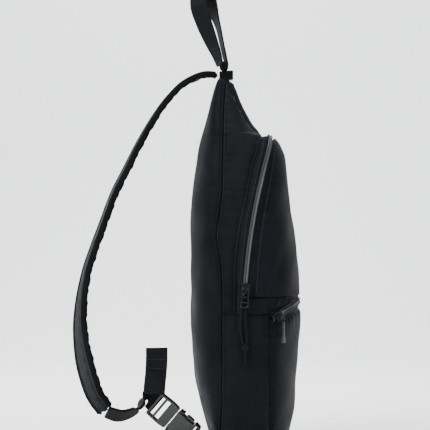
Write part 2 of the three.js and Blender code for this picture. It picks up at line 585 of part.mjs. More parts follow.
add('strap_outer', sweep(strapStations, layer(LAYER_GAP / 2, STRAP_THICK / 2)), shellNylon);
add('strap_lining', sweep(strapStations, layer(-STRAP_THICK / 2, -LAYER_GAP / 2)), backNylon);

// Buckle, built along its own axis: along, from the strap to the bag; across; out of its face.
const BUCKLE = { length: 60, thick: 9, y: 88, z: 42.5, x: -54 };
const buckleAlong = new THREE.Vector3(-0.06, -0.76, -0.645).normalize();
const buckleOut = new THREE.Vector3(-0.93, 0.32, -0.17);
buckleOut.addScaledVector(buckleAlong, -buckleOut.dot(buckleAlong)).normalize();
const buckleAcross = new THREE.Vector3().crossVectors(buckleAlong, buckleOut);
const buckleMatrix = new THREE.Matrix4().makeBasis(buckleAcross, buckleAlong, buckleOut)
  .setPosition(BUCKLE.x, BUCKLE.y, BUCKLE.z);
const inBuckle = (across, along, out = 0) => new THREE.Vector3(across, along, out).applyMatrix4(buckleMatrix);
const moulded = (manifold) => toGeometry(manifold).applyMatrix4(buckleMatrix);
function slab(points, low, high) {
  const geometry = new THREE.ExtrudeGeometry(new THREE.Shape(points.map((p) => new THREE.Vector2(...p))),
    { depth: high - low, bevelEnabled: false });
  geometry.translate(0, 0, low);
  return solid(geometry);
}
const W = BUCKLE_WIDTH / 2;
const L = BUCKLE.length / 2;
const slot = (from, to, thick) => slab([[-13, from], [13, from], [13, to], [-13, to]], -thick, thick);
const maleFrame = slab([[-14, -L], [14, -L], [W - 1.5, -L + 3], [W, -12], [W - 1, -1.8], [-W + 1, -1.8],
  [-W, -12], [-W + 1.5, -L + 3]], -3, 3)
  .subtract(slot(-L + 4, -L + 8, 4)).subtract(slot(-L + 11.5, -L + 15.5, 4));
add('buckle_male', moulded(maleFrame), acetal);
const femaleBody = slab([[-W + 0.5, -1.2], [W - 0.5, -1.2], [W, 5], [W - 1, 22], [W - 3, L], [-W + 3, L],
  [-W + 1, 22], [-W, 5]], -BUCKLE.thick / 2, BUCKLE.thick / 2)
  .subtract(slab([[-W + 2.2, -3], [W - 2.2, -3], [W - 2.2, 6], [W + 1, 6], [W + 1, 21.5], [-W - 1, 21.5],
    [-W - 1, 6], [-W + 2.2, 6]], -2.7, 2.7))
  .subtract(slab([[W - 3.5, 7.5], [W + 2, 6.5], [W + 2, 21.5], [W - 3, 20]], -8, 8))
  .subtract(slab([[-W + 3.5, 7.5], [-W + 3, 20], [-W - 2, 21.5], [-W - 2, 6.5]], -8, 8))
  .subtract(slot(L - 5.5, L - 2.5, 6));
add('buckle_female', moulded(femaleBody), acetal);
const prong = (side) => {
  const outline = [[7.4, -1.5], [10.4, -1.5], [12.6, 7.8], [W + 0.3, 9], [W - 0.2, 19.5], [11.4, 19.8],
    [9.2, 8.5]].map(([a, l]) => [side * a, l]);
  return slab(side > 0 ? outline : outline.reverse(), -2.3, 2.3);
};
add('prong_upper', moulded(prong(1)), acetal);
add('prong_lower', moulded(prong(-1)), acetal);

// Webbing between the pad and the buckle, its loose tail, and the short piece sewn to the bag
const padEnd = strapStations[strapStations.length - 1];
const webCurve = new THREE.CatmullRomCurve3([
  padEnd.p.clone().addScaledVector(strapCurve.getTangentAt(1), 3.6),
  new THREE.Vector3(-52.5, 149, 46.5), new THREE.Vector3(-52, 131, 53), inBuckle(0, -L - 8.5),
  inBuckle(0, -L - 1)], false, 'centripetal');
const turnBetween = (first, last) => (t) => first.clone().lerp(last, t);
add('strap_webbing', sweep(ribbon(webCurve, 8, turnBetween(padEnd.across, buckleAcross)),
  lens(WEBBING_WIDTH, WEBBING * 2)), webbingNylon);
const tailCurve = curveThrough([[-64.5, 110, 72], [-64, 109.5, 80], [-64.5, 108, 95], [-63.5, 107, 110],
  [-61.5, 107, 124.5]]);
const tailSide = new THREE.Vector3(0.18, 0.97, 0.1);
add('strap_tail', sweep(ribbon(tailCurve, 8, () => tailSide), lens(WEBBING_WIDTH, WEBBING)), webbingNylon);
const shortCurve = new THREE.CatmullRomCurve3([inBuckle(0, L + 1.2), inBuckle(0, L + 4),
  new THREE.Vector3(ANCHOR.x, ANCHOR.y + 15, ANCHOR.z + 0.8), new THREE.Vector3(ANCHOR.x, ANCHOR.y + 11.5, ANCHOR.z)],
false, 'centripetal');
add('strap_lower_webbing', sweep(ribbon(shortCurve, 4, turnBetween(buckleAcross, new THREE.Vector3(0.1, 0, 1))),
  lens(WEBBING_WIDTH, WEBBING)), webbingNylon);
const tabCurve = curveThrough([[ANCHOR.x, ANCHOR.y + 7.4, ANCHOR.z], [ANCHOR.x, ANCHOR.y + 4.5, ANCHOR.z]]);
add('lower_tab', sweep(ribbon(tabCurve, 2, () => new THREE.Vector3(0.1, 0, 1)), lens(WEBBING_WIDTH, WEBBING)),
  webbingNylon);

// Pivots of everything that turns, each a point and a direction
export const pivots = {
  flap: { point: new THREE.Vector3(0, -57.6, FLAP_Z - 1.5), axis: X },
  mainSlider: { point: mainCircle.centre, axis: mainCircle.axis, travel: LEG_TRAVEL },
  mainPull: { point: sliderSeat.p.clone().addScaledVector(sliderSeat.out, PULL_OUT), axis: sliderSeat.across },
  pocketSlider: { point: pocketCircle.centre, axis: pocketCircle.axis, travel: POCKET_TRAVEL },
  pocketPull: { point: barCentre, axis: pocketSeat.along.clone().negate() },
  grabLoop: { point: new THREE.Vector3(0, ROLL.y, ROLL.z), axis: X },
  strap: { point: new THREE.Vector3(0, APEX.back + 1, 438.6),
    axis: new THREE.Vector3(ANCHOR.x, ANCHOR.y + 10, ANCHOR.z)
      .sub(new THREE.Vector3(0, APEX.back + 1, 438.6)).normalize() },
  prongUpper: { point: inBuckle(9, -1.5), axis: buckleOut },
  prongLower: { point: inBuckle(-9, -1.5), axis: buckleOut },
};

export default group;
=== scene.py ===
# %% [markdown]
# # A black nylon sling bag
# A sling bag is a teardrop of padded woven nylon with one shoulder strap. It is cut as flat panels, sewn
# inside out along their edges and turned, so every seam is a valley and every panel swells a little
# between its seams. This lesson builds it round a imported frame that already holds the sizes, the pivots
# and the moving bodies. The frame is loaded first.

# %% Load the frame
import json
import math

import bpy
import numpy as np
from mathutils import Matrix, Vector


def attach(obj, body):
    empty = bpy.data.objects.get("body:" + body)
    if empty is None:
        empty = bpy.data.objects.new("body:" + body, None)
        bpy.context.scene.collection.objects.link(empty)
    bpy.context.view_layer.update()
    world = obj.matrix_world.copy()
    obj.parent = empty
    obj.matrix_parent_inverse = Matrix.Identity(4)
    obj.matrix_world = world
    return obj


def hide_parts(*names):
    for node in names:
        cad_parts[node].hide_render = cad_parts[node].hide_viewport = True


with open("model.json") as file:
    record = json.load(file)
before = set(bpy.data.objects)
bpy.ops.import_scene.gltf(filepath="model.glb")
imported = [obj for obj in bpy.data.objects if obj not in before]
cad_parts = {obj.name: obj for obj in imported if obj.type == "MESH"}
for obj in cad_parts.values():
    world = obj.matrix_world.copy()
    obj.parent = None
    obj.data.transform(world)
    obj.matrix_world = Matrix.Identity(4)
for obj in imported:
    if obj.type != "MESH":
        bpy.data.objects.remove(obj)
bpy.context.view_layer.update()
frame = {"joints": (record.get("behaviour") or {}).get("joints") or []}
joints = {joint["name"]: joint for joint in frame["joints"]}

# %% [markdown]
# ## The camera and the studio
# The bag is seen square from its side, from far enough back that the near and far sides are almost the
# same size. A long lens two metres away gives that. The room is plain: a pale floor that curves up into a
# wall, so that no line crosses behind the bag.

# %% Camera
MM = 0.001
VIEW_DISTANCE = 2.0         # metres from the bag's middle plane
VIEW_WIDTH = 0.503          # metres of the middle plane that the view is wide
AIM = (0.0, 0.041, 0.275)   # where the lens points
camera_data = bpy.data.cameras.new("camera")
camera_data.sensor_width = 36
camera_data.lens = camera_data.sensor_width * VIEW_DISTANCE / VIEW_WIDTH
camera = bpy.data.objects.new("camera", camera_data)
camera.location = (AIM[0] - VIEW_DISTANCE, AIM[1], AIM[2])
camera.rotation_euler = (math.pi / 2, 0, -math.pi / 2)
bpy.context.scene.collection.objects.link(camera)
bpy.context.scene.camera = camera
print("lens", round(camera_data.lens, 1), "mm")

# %% [markdown]
# ## Colours and nodes
# Colours are written as the hex values that a paint program shows and turned to linear light once. One
# small helper adds a node with its settings and links, and every material below is built with it.

# %% Colour and nodes
def linear(hex_colour):
    """An sRGB hex colour as linear RGBA: each channel c is c / 12.92 below 0.04045, else ((c + 0.055) /
    1.055)^2.4."""
    channels = [int(hex_colour[i:i + 2], 16) / 255 for i in (1, 3, 5)]
    return [c / 12.92 if c <= 0.04045 else ((c + 0.055) / 1.055) ** 2.4 for c in channels] + [1.0]


def node(tree, kind, inputs=None, **settings):
    """Adds a node; inputs holds values or sockets to link, by socket name or number."""
    made = tree.nodes.new(kind)
    for key, value in settings.items():
        setattr(made, key, value)
    for key, value in (inputs or {}).items():
        if isinstance(value, bpy.types.NodeSocket):
            tree.links.new(value, made.inputs[key])
        else:
            made.inputs[key].default_value = value
    return made


def new_material(name, roughness, **shader):
    """A material with an empty Principled shader, and its node tree."""
    material = bpy.data.materials.new(name)
    material.use_nodes = True
    tree = material.node_tree
    tree.nodes.clear()
    surface = node(tree, "ShaderNodeBsdfPrincipled", {"Roughness": roughness, **shader})
    output = node(tree, "ShaderNodeOutputMaterial", {"Surface": surface.outputs[0]})
    output.is_active_output = True
    return material, tree, surface


def mix(tree, share, first, second):
    """A colour mix whose share is a socket or a number."""
    mixer = node(tree, "ShaderNodeMix", data_type="RGBA")
    for socket, value in ((mixer.inputs[0], share), (mixer.inputs[6], first), (mixer.inputs[7], second)):
        if isinstance(value, bpy.types.NodeSocket):
            tree.links.new(value, socket)
        else:
            socket.default_value = value
    return mixer.outputs[2]
print("mid grey in linear light", round(linear("#808080")[0], 3))

# %% [markdown]
# A woven cloth shows as crossing waves. They could be painted by hand, but a formula keeps its scale on
# every piece, so the warp and the weft are two sine waves over the cloth's own map, with slow noise for
# wear and quick noise for fuzz.

# %% Woven cloth
def woven(name, dark, light, roughness, warp_mm, weft_mm, bump_mm, cloud_mm=60, sheen=0.25, twill=0.0):
    """Cloth on the piece's own UV map, which is in metres. Warp and weft are two sine waves at right
    angles, and where one is high the other is under it; twill slides each weft a little against the
    last."""
    material, tree, surface = new_material(name, roughness, **{"Sheen Weight": sheen, "Sheen Roughness": 0.4,
                                                               "Sheen Tint": linear("#7f8596"),
                                                               "Specular IOR Level": 0.22, "IOR": 1.18})
    uv = node(tree, "ShaderNodeUVMap", uv_map="cloth")
    split = node(tree, "ShaderNodeSeparateXYZ", {0: uv.outputs[0]})
    slid = node(tree, "ShaderNodeMath", {0: split.outputs[1], 1: twill, 2: split.outputs[0]},
                operation="MULTIPLY_ADD")
    waves = []
    for source, pitch in ((slid.outputs[0], warp_mm), (split.outputs[1], weft_mm)):
        turn = node(tree, "ShaderNodeMath", {0: source, 1: 2 * math.pi / (pitch * MM)}, operation="MULTIPLY")
        waves.append(node(tree, "ShaderNodeMath", {0: turn.outputs[0]}, operation="SINE").outputs[0])
    weave = node(tree, "ShaderNodeMath", {0: waves[0], 1: waves[1]}, operation="MULTIPLY")
    height = node(tree, "ShaderNodeMath", {0: weave.outputs[0], 1: 0.5, 2: 0.5}, operation="MULTIPLY_ADD")
    place = node(tree, "ShaderNodeTexCoord")
    cloud = node(tree, "ShaderNodeTexNoise", {"Vector": place.outputs["Object"], "Scale": 1000 / cloud_mm,
                                              "Detail": 5.0, "Roughness": 0.6})
    fuzz = node(tree, "ShaderNodeTexNoise", {"Vector": place.outputs["Object"], "Scale": 900.0,
                                             "Detail": 2.0})
    worn = node(tree, "ShaderNodeMath", {0: height.outputs[0], 1: 0.55, 2: cloud.outputs[0]},
                operation="MULTIPLY_ADD")
    share = node(tree, "ShaderNodeMapRange", {0: worn.outputs[0], 1: 0.35, 2: 1.15})
    tree.links.new(mix(tree, share.outputs[0], linear(dark), linear(light)), surface.inputs["Base Color"])
    rough = node(tree, "ShaderNodeMapRange", {0: cloud.outputs[0], 1: 0.3, 2: 0.7, 3: roughness - 0.06,
                                              4: roughness + 0.08})
    tree.links.new(rough.outputs[0], surface.inputs["Roughness"])
    relief = node(tree, "ShaderNodeMath", {0: fuzz.outputs[0], 1: 0.35, 2: height.outputs[0]},
                  operation="MULTIPLY_ADD")
    bump = node(tree, "ShaderNodeBump", {"Strength": 1.0, "Distance": bump_mm * MM,
                                         "Height": relief.outputs[0]})
    tree.links.new(bump.outputs[0], surface.inputs["Normal"])
    return material

# %% [markdown]
# Moulded, extruded and plated parts each have one even colour. What tells them apart is how smooth they
# are, so only the roughness and a very fine grain change over the surface.

# %% Moulded and plated surfaces
def hard(name, colour, roughness, metallic=0.0, grain_mm=2.0, bump_mm=0.02):
    """A moulded or plated surface: an even colour, a fine grain and a roughness that varies a little with
    wear."""
    material, tree, surface = new_material(name, roughness, Metallic=metallic)
    surface.inputs["Base Color"].default_value = linear(colour)
    place = node(tree, "ShaderNodeTexCoord")
    grain = node(tree, "ShaderNodeTexNoise", {"Vector": place.outputs["Object"], "Scale": 1000 / grain_mm,
                                              "Detail": 4.0})
    rough = node(tree, "ShaderNodeMapRange", {0: grain.outputs[0], 1: 0.3, 2: 0.7, 3: roughness * 0.8,
                                              4: roughness * 1.25})
    tree.links.new(rough.outputs[0], surface.inputs["Roughness"])
    bump = node(tree, "ShaderNodeBump", {"Strength": 1.0, "Distance": bump_mm * MM,
                                         "Height": grain.outputs[0]})
    tree.links.new(bump.outputs[0], surface.inputs["Normal"])
    return material


# %% [markdown]
# ## What the bag is made of
# The shell is 600 denier polyester-nylon in plain weave: threads about half a millimetre apart, matt,
# with a soft sheen where it turns away. Half a millimetre can't be seen at this distance, so the weave is
# drawn at twice that. The webbing is a coarse herringbone, the zip tape a fine twill, the coils are solid
# nylon line, and the metal is black nickel on zinc.

# %% The materials
# Every weave below is drawn coarser than its real threads, so that it can be seen from this distance
# Plain weave, filament yarn: almost black, matt, bluish where it turns away from the eye
nylon = woven("polyester_600d_plain_weave", "#060608", "#16171c", 0.55, 1.1, 1.1, 0.2, sheen=0.012)
# Thin plain weave, dull: a flat dark grey
back_cloth = woven("polyester_210d_lining_weave", "#0a0a0d", "#1a1b20", 0.68, 0.9, 0.9, 0.12, sheen=0.012)
# Twill with tight ends: a little greyer than the shell, with a fine slant
tape_cloth = woven("polyester_zip_tape_twill", "#0a0a0c", "#1b1c20", 0.7, 1.3, 0.9, 0.18, cloud_mm=25,
                   sheen=0.015, twill=0.8)
# Heavy woven webbing: black, ribbed across its length
webbing_cloth = woven("polypropylene_herringbone_webbing", "#060608", "#18181c", 0.6, 2.2, 1.5, 0.3,
                      cloud_mm=30, sheen=0.012, twill=1.0)
# Grosgrain folded over an edge: fine ribs that catch a thin line of light
binding_cloth = woven("polyester_grosgrain_binding", "#060608", "#151518", 0.6, 1.4, 0.9, 0.22, cloud_mm=30,
                      sheen=0.012)
# Extruded nylon line, set hot round a core: grey, with a soft highlight on each loop
coil_nylon = hard("nylon_coil_monofilament", "#1b1c1f", 0.45, grain_mm=1.0, bump_mm=0.01)
# Die-cast and plated: a dark mirror with small bright edges
black_nickel = hard("black_nickel_plated_zinc", "#2c2d31", 0.22, metallic=1.0, grain_mm=1.5, bump_mm=0.01)
# Injection moulded in a polished tool: deep black with broad clean highlights
acetal = hard("acetal_moulded_satin", "#060607", 0.28, grain_mm=1.2, bump_mm=0.015)
# Twisted polyester: a dull dark line that stands just proud of the cloth
thread = hard("polyester_sewing_thread", "#121215", 0.6, grain_mm=0.8, bump_mm=0.03)
# Hollow braid: crossed yarns in small diamonds
cord_braid = woven("polyester_braided_cord", "#08080a", "#1e1e23", 0.62, 1.2, 1.2, 0.25, cloud_mm=10,
                   sheen=0.015, twill=1.0)
print("materials:", len(bpy.data.materials))

# %% [markdown]
# ## The form of the bag
# The bag's outline is a superellipse at every height: a rounded box whose half width, back and front
# change smoothly from the flat base to the narrow top. Each of these three is a smooth line through a few
# measured heights. Angle 0 is the front's middle, a quarter turn is the widest line, and half a turn is
# the back's middle.

# %% Shape of the bag, in millimetres
def through(pairs):
    """A smooth line through [position, value] pairs: cubic pieces whose slope at each pair is the
    harmonic mean of its two neighbours' rises, or nothing at a peak, so that it never overshoots."""
    x, v = np.array(pairs, float).T
    rise = np.diff(v) / np.diff(x)
    slope = np.concatenate([rise[:1], np.zeros(len(x) - 2), rise[-1:]])
    same = rise[:-1] * rise[1:] > 0
    slope[1:-1][same] = 2 / (1 / rise[:-1][same] + 1 / rise[1:][same])

    def value(at):
        """The cubic between the two pairs on either side, from their values and slopes."""
        at = np.clip(np.asarray(at, float), x[0], x[-1])
        i = np.clip(np.searchsorted(x, at) - 1, 0, len(x) - 2)
        h = x[i + 1] - x[i]
        t = (at - x[i]) / h
        return (v[i] * (2 * t**3 - 3 * t**2 + 1) + slope[i] * h * (t**3 - 2 * t**2 + t)
                + v[i + 1] * (3 * t**2 - 2 * t**3) + slope[i + 1] * h * (t**3 - t**2))
    return value


BODY_HEIGHT = 433
BAND_Z = 164
FLAP_Z = 183
half_width = through([[0, 73], [8, 82], [30, 94], [70, 101], [120, 104], [180, 102], [240, 94], [300, 79],
                      [350, 60], [390, 41], [420, 26], [BODY_HEIGHT, 19]])
back_y = through([[0, 42], [24, 47], [50, 55], [82, 62], [116, 66], [150, 68], [277, 68], [325, 63],
                  [381, 51.5], [425, 39.5], [BODY_HEIGHT, 36]])
front_y = through([[0, -38], [24, -43], [56, -48.5], [122, -54], [173, -56.7], [228, -52.7], [292, -44.5],
                   [341, -39.8], [354, -35], [362, -29.5], [366, -24], [369, -12], [395, 7], [420, 17.6],
                   [BODY_HEIGHT, 23]])
BACK_POWER = 2.8
FRONT_POWER = 2.2


def section(z):
    """Half width, back, front and the widest line of the form at a height."""
    w, b, f = half_width(z), back_y(z), front_y(z)
    return w, b, f, (b + f) / 2 + 4 * np.minimum(1, (b - f) / 100)


def skin(angle, z):
    """The point of the outer surface at an angle from the front's middle and a height: the superellipse
    |x / w|^n + |(y - c) / h|^n = 1, with n and h of the half that the angle is in."""
    w, b, f, c = section(z)
    cos, sin = np.cos(angle), np.sin(angle)
    front = cos > 0
    power = 2 / np.where(front, FRONT_POWER, BACK_POWER)
    y = c - np.where(front, c - f, b - c) * np.sign(cos) * np.abs(cos) ** power
    x = w * np.sign(sin) * np.abs(sin) ** power
    return np.stack([x, y, z + 0 * x], -1)


def angle_at(y, z):
    """The angle at which the surface has a given depth: the inverse of skin, from 0 to half a turn."""
    w, b, f, c = section(z)
    forward = np.clip((c - y) / (c - f), 0, 1) ** (FRONT_POWER / 2)
    rearward = np.clip((y - c) / (b - c), 0, 1) ** (BACK_POWER / 2)
    return np.where(y < c, np.arccos(forward), math.pi - np.arccos(rearward))


def outward(points):
    """Unit normals of the outer surface, from the rise of its level function by central differences."""
    def level(p):
        """The superellipse sum, which is 1 on the surface."""
        w, b, f, c = section(p[..., 2])
        rear = p[..., 1] > c
        power = np.where(rear, BACK_POWER, FRONT_POWER)
        depth = np.where(rear, b - c, c - f)
        return (np.abs(p[..., 0]) / w) ** power + (np.abs(p[..., 1] - c) / depth) ** power
    step = 0.5 * np.eye(3)
    normal = np.stack([level(points + s) - level(points - s) for s in step], -1)
    return normal / np.linalg.norm(normal, axis=-1, keepdims=True)

# %% [markdown]
# The seams are drawn in side view, as a depth for each height, because that is how the bag is seen and
# how its maker would mark the pattern. The same lines serve both sides.

# %% Seam lines
back_seam = through([[0, 38], [62, 35.5], [190, 35], [225, 37], [252, 41.5], [275, 38], [309, 34.5],
                     [388, 33], [BODY_HEIGHT, 30]])
tape_seam = through([[150, 17], [204, 16.5], [244, 13.7], [294, 4], [329, -3.2], [349, -9], [367, -13.5],
                     [374, -20], [440, -20]])
coil_line = through([[150, 10.5], [193, 7.7], [240, 2.5], [266, -0.4], [308, -9.8], [329, -14.6],
                     [349, -19.4], [366, -22.5], [374, -26], [440, -26]])
flap_seam = through([[150, 0], [194, -2.4], [253, -8.1], [313, -18.7], [334, -22.7], [363, -27], [374, -32],
                     [440, -32]])
print("section at 200 mm: half width, back, front, middle", [round(float(v), 1) for v in section(200.0)])
print("back seam at half height", round(float(back_seam(BODY_HEIGHT / 2)), 1), "mm")

# %% [markdown]
# ## Tools for surfaces
# Every piece here is a grid of points worked out in one go: a function of two parameters, or a profile
# carried along a path. Cloth needs a map for its weave, and the map is simply the distance walked over
# the surface, so the threads keep their spacing wherever the panel curves.

# %% Surfaces, paths and profiles
def unit(v):
    """Vectors divided by their own lengths."""
    return v / np.linalg.norm(v, axis=-1, keepdims=True)


def walked(points, axis):
    """Distance walked along one axis of a grid: the running sum of the steps' lengths, from nothing."""
    steps = np.linalg.norm(np.diff(points, axis=axis), axis=-1)
    return np.insert(np.cumsum(steps, axis), 0, 0, axis)


def surface(points, closed=False, caps=False, facing=None, uv=None):
    """A grid of points (rows, columns, 3) as quads. closed joins the last column to the first, caps fills
    the first and last ring. It is turned to face `facing`, or, as a closed solid, to have a positive
    volume."""
    rows, columns = points.shape[:2]
    if uv is None:
        around = np.concatenate([points, points[:, :1]], 1) if closed else points
        across, along = walked(around, 1), walked(around, 0)
        uv = np.stack([across - across[:, -1:] / 2, np.broadcast_to(along.mean(1, keepdims=True),
                                                                    across.shape)], -1)
    r, c = np.meshgrid(np.arange(rows - 1), np.arange(columns if closed else columns - 1), indexing="ij")
    n = (c + 1) % columns
    quads = np.stack([r * columns + c, r * columns + n, (r + 1) * columns + n, (r + 1) * columns + c], -1)
    quads = quads.reshape(-1, 4)
    corner = np.stack([uv[r, c], uv[r, c + 1], uv[r + 1, c + 1], uv[r + 1, c]], 2).reshape(-1, 4, 2)
    flat = points.reshape(-1, 3)
    diagonals = np.cross(flat[quads[:, 2]] - flat[quads[:, 0]], flat[quads[:, 3]] - flat[quads[:, 1]])
    middle = flat[quads].mean(1)
    if facing is None:
        toward = np.sum(diagonals * (middle - flat.mean(0)))
    else:
        toward = np.sum(diagonals * np.asarray(facing, float).reshape(-1, 3))
    faces, corners = list(quads), list(corner)
    if caps:
        ends = [np.arange(columns)[::-1], np.arange(columns) + (rows - 1) * columns]
        faces += ends
        corners += [np.zeros((columns, 2)) + uv[0, 0], np.zeros((columns, 2)) + uv[-1, 0]]
    if toward < 0:
        faces = [f[::-1] for f in faces]
        corners = [f[::-1] for f in corners]
    return flat, faces, corners


def solid_sheet(top, bottom):
    """A closed slab between two grids of the same shape: the top, the bottom turned over, and the rim."""
    ring = np.concatenate([top, bottom[:, ::-1]], 1)
    return surface(ring, closed=True, caps=True)
print("a square of 1 mm has a walk of", float(walked(np.eye(3)[None, :2], 1)[0, -1].round(2)), "mm across")

# %% [markdown]
# A mesh needs its points, its faces and its map in one go. This is the only place that makes an object,
# so every piece gets the same finish: smooth faces, a map in metres and its body.

# %% One piece
def piece(name, shapes, body, material, replaces=(), solidify=0, bevel=0, smooth=True):
    """One object from one or more surfaces, in millimetres, on a body, standing for CAD nodes."""
    vertices, faces, corners, start = [], [], [], 0
    for flat, quads, corner in ([shapes] if isinstance(shapes, tuple) else shapes):
        vertices.append(flat)
        faces += [(np.asarray(f) + start).tolist() for f in quads]
        corners += corner
        start += len(flat)
    mesh = bpy.data.meshes.new(name)
    mesh.from_pydata((np.concatenate(vertices) * MM).tolist(), [], faces)
    layer = mesh.uv_layers.new(name="cloth")
    layer.data.foreach_set("uv", (np.concatenate(corners) * MM).ravel())
    mesh.polygons.foreach_set("use_smooth", [smooth] * len(faces))
    mesh.materials.append(material)
    mesh.update()
    made = bpy.data.objects.new(name, mesh)
    bpy.context.scene.collection.objects.link(made)
    if solidify:
        thick = made.modifiers.new("thickness", "SOLIDIFY")
        thick.thickness = solidify * MM
        thick.offset = -1
    if bevel:
        edge = made.modifiers.new("edges", "BEVEL")
        edge.width = bevel * MM
        edge.segments = 2
        edge.limit_method = "ANGLE"
        edge.angle_limit = math.radians(40)
    if body:
        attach(made, body)
    if replaces:
        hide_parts(*replaces)
    return made

# %% [markdown]
# Cords, webbing and the strap follow a path. A path is a few chosen points joined by cubics, then spaced
# evenly, so that the profile carried along it never bunches.

# %% Paths and profiles
def curve(points, count):
    """A smooth path through points, evenly spaced: cubic pieces over the chord length, whose slope at a
    point is that of the parabola through it and its neighbours."""
    p = np.array(points, float)
    t = np.insert(np.cumsum(np.linalg.norm(np.diff(p, axis=0), axis=1) ** 0.75), 0, 0)
    slope = np.gradient(p, t, axis=0)
    at = np.linspace(0, t[-1], 40 * len(p))
    i = np.clip(np.searchsorted(t, at) - 1, 0, len(p) - 2)
    h = (t[i + 1] - t[i])[:, None]
    s = ((at - t[i]) / h[:, 0])[:, None]
    fine = (p[i] * (2 * s**3 - 3 * s**2 + 1) + slope[i] * h * (s**3 - 2 * s**2 + s)
            + p[i + 1] * (3 * s**2 - 2 * s**3) + slope[i + 1] * h * (s**3 - s**2))
    return evenly(fine, count)


def evenly(path, count):
    """The same path with evenly spaced points, by linear interpolation over the distance walked."""
    gone = walked(path, 0)
    at = np.linspace(0, gone[-1], count)
    return np.stack([np.interp(at, gone, path[:, k]) for k in range(3)], -1)


def frames(path, width):
    """Directions along a path: the tangent, the width made square to it, and the cross of the two."""
    tangent = unit(np.gradient(path, axis=0))
    width = np.broadcast_to(np.asarray(width, float), path.shape)
    across = unit(width - tangent * np.sum(width * tangent, -1, keepdims=True))
    return tangent, across, np.cross(tangent, across)


def carry(path, across, out, outline):
    """A profile carried along a path: point = path + across * a + out * o for each (a, o) of the outline,
    which may be one outline or one for each point of the path."""
    outline = np.broadcast_to(outline, (len(path),) + np.shape(outline)[-2:])
    return (path[:, None] + across[:, None] * outline[..., :1] + out[:, None] * outline[..., 1:])


def circle(radius, sides):
    """A round outline: radius times the cosine and sine of even steps of a turn."""
    turn = np.linspace(0, 2 * math.pi, sides, endpoint=False)
    return radius * np.stack([np.cos(turn), np.sin(turn)], -1)


def rounded(width, thick, sides=24, power=4.0):
    """A flat bar's section with soft edges: the superellipse |a / (w/2)|^n + |o / (t/2)|^n = 1."""
    turn = np.linspace(0, 2 * math.pi, sides, endpoint=False)
    cos, sin = np.cos(turn), np.sin(turn)
    return np.stack([width / 2 * np.sign(cos) * np.abs(cos) ** (2 / power),
                     thick / 2 * np.sign(sin) * np.abs(sin) ** (2 / power)], -1)


def tube(path, radius, sides=12, width=(1, 0, 0)):
    """A round cord: a circle carried along a path."""
    _, across, out = frames(path, width)
    return surface(carry(path, across, out, circle(radius, sides)), closed=True, caps=True)
print("webbing section", rounded(25.0, 1.8).max(0).round(2), "mm from its middle")

# %% [markdown]
# ## Where the zips run
# A slider can only follow a true arc, because its joint is a hinge about a far centre. So each coil is
# laid on the circle that its joint turns round, with the seat of the slider at the joint's rest. The
# directions are: along the zip, out of the cloth, and across from one tape to the other.

# %% Zip frames, from the joints
def turn_about(p, joint, angle, place=True):
    """Rodrigues' turn of points, or of directions, about a joint's axis."""
    centre = np.array(joint["pos_m"]) / MM
    axis = unit(np.array(joint["axis"], float))
    v = np.asarray(p, float) - (centre if place else 0)
    angle = np.asarray(angle, float)[..., None]
    turned = (v * np.cos(angle) + np.cross(axis, v) * np.sin(angle)
              + axis * np.sum(v * axis, -1, keepdims=True) * (1 - np.cos(angle)))
    return turned + (centre if place else 0)


def zip_frame(start, normal, joint):
    """The seat of a slider: its point, the way that it travels, out of the cloth and across."""
    centre = np.array(joint["pos_m"]) / MM
    along = unit(np.cross(unit(np.array(joint["axis"], float)), start - centre))
    out = unit(normal - along * np.dot(normal, along))
    return {"p": start, "along": along, "out": out, "across": np.cross(out, along), "joint": joint}


def stations(seat, angles):
    """The seat's point and directions, turned by each travel angle."""
    return (turn_about(seat["p"], seat["joint"], angles),
            *(turn_about(seat[k], seat["joint"], angles, False) for k in ("along", "across", "out")))


def side_point(y, z):
    """The point of the form on the left side at a depth and a height."""
    at = skin(-angle_at(y, z), z)
    return np.array([at[0], y, z])


main_seat = zip_frame(side_point(coil_line(193.0), 193.0), outward(side_point(coil_line(193.0), 193.0)),
                      joints["main_slider_travel"])
pocket_seat = zip_frame(side_point(-28.0, 162.5), outward(side_point(-28.0, 162.5)),
                        joints["pocket_slider_travel"])
leg_travel = math.radians(joints["main_slider_travel"]["range_deg"][1] + 0.6)
pocket_travel = math.radians(joints["pocket_slider_travel"]["range_deg"][1])
print("slider seats", main_seat["p"].round(1), pocket_seat["p"].round(1))

# %% [markdown]
# ## The pull's cords
# A thin braided cord is threaded through the eye of the metal pull, and its two ends are tied in one
# overhand knot, so that there is something soft to take hold of. On the real bag it is one length of 2.4
# mm polyester cord. It is two tubes here, one for each strand that hangs from the eye, because each is a
# free cord with its own length. The knot is a lobed ball with the two ends wrapped round it, and one tail
# hangs below it.

# %% Cords, knot and tail
CORD = 2.4
strand_points = {
    "main_cord_rear": [[-108.9, 11.4, 168.9], [-109.2, 12.6, 160], [-109.1, 13, 150], [-108.8, 12, 141],
                       [-108.6, 9.8, 132.4]],
    "main_cord_front": [[-108.9, 8, 168.9], [-109, 7.2, 160], [-108.9, 6.4, 150], [-108.7, 6, 141],
                        [-108.6, 6.2, 132.4]],
}
KNOT = np.array([-108.6, 8.0, 128.3])
turn = np.linspace(0, 2 * math.pi, 36, endpoint=False)[None, :]
rise = np.linspace(-math.pi / 2 + 0.02, math.pi / 2 - 0.02, 26)[:, None]
lobes = 1 + 0.10 * np.cos(2 * turn + 3.2 * rise) + 0.07 * np.cos(5 * rise + turn)
knot_ball = KNOT + np.stack([3.2 * lobes * np.cos(rise) * np.cos(turn), 3.9 * lobes * np.cos(rise)
                             * np.sin(turn), 4.0 * lobes * np.sin(rise) + 0 * turn], -1)
s = np.linspace(0, 1, 40)[:, None]
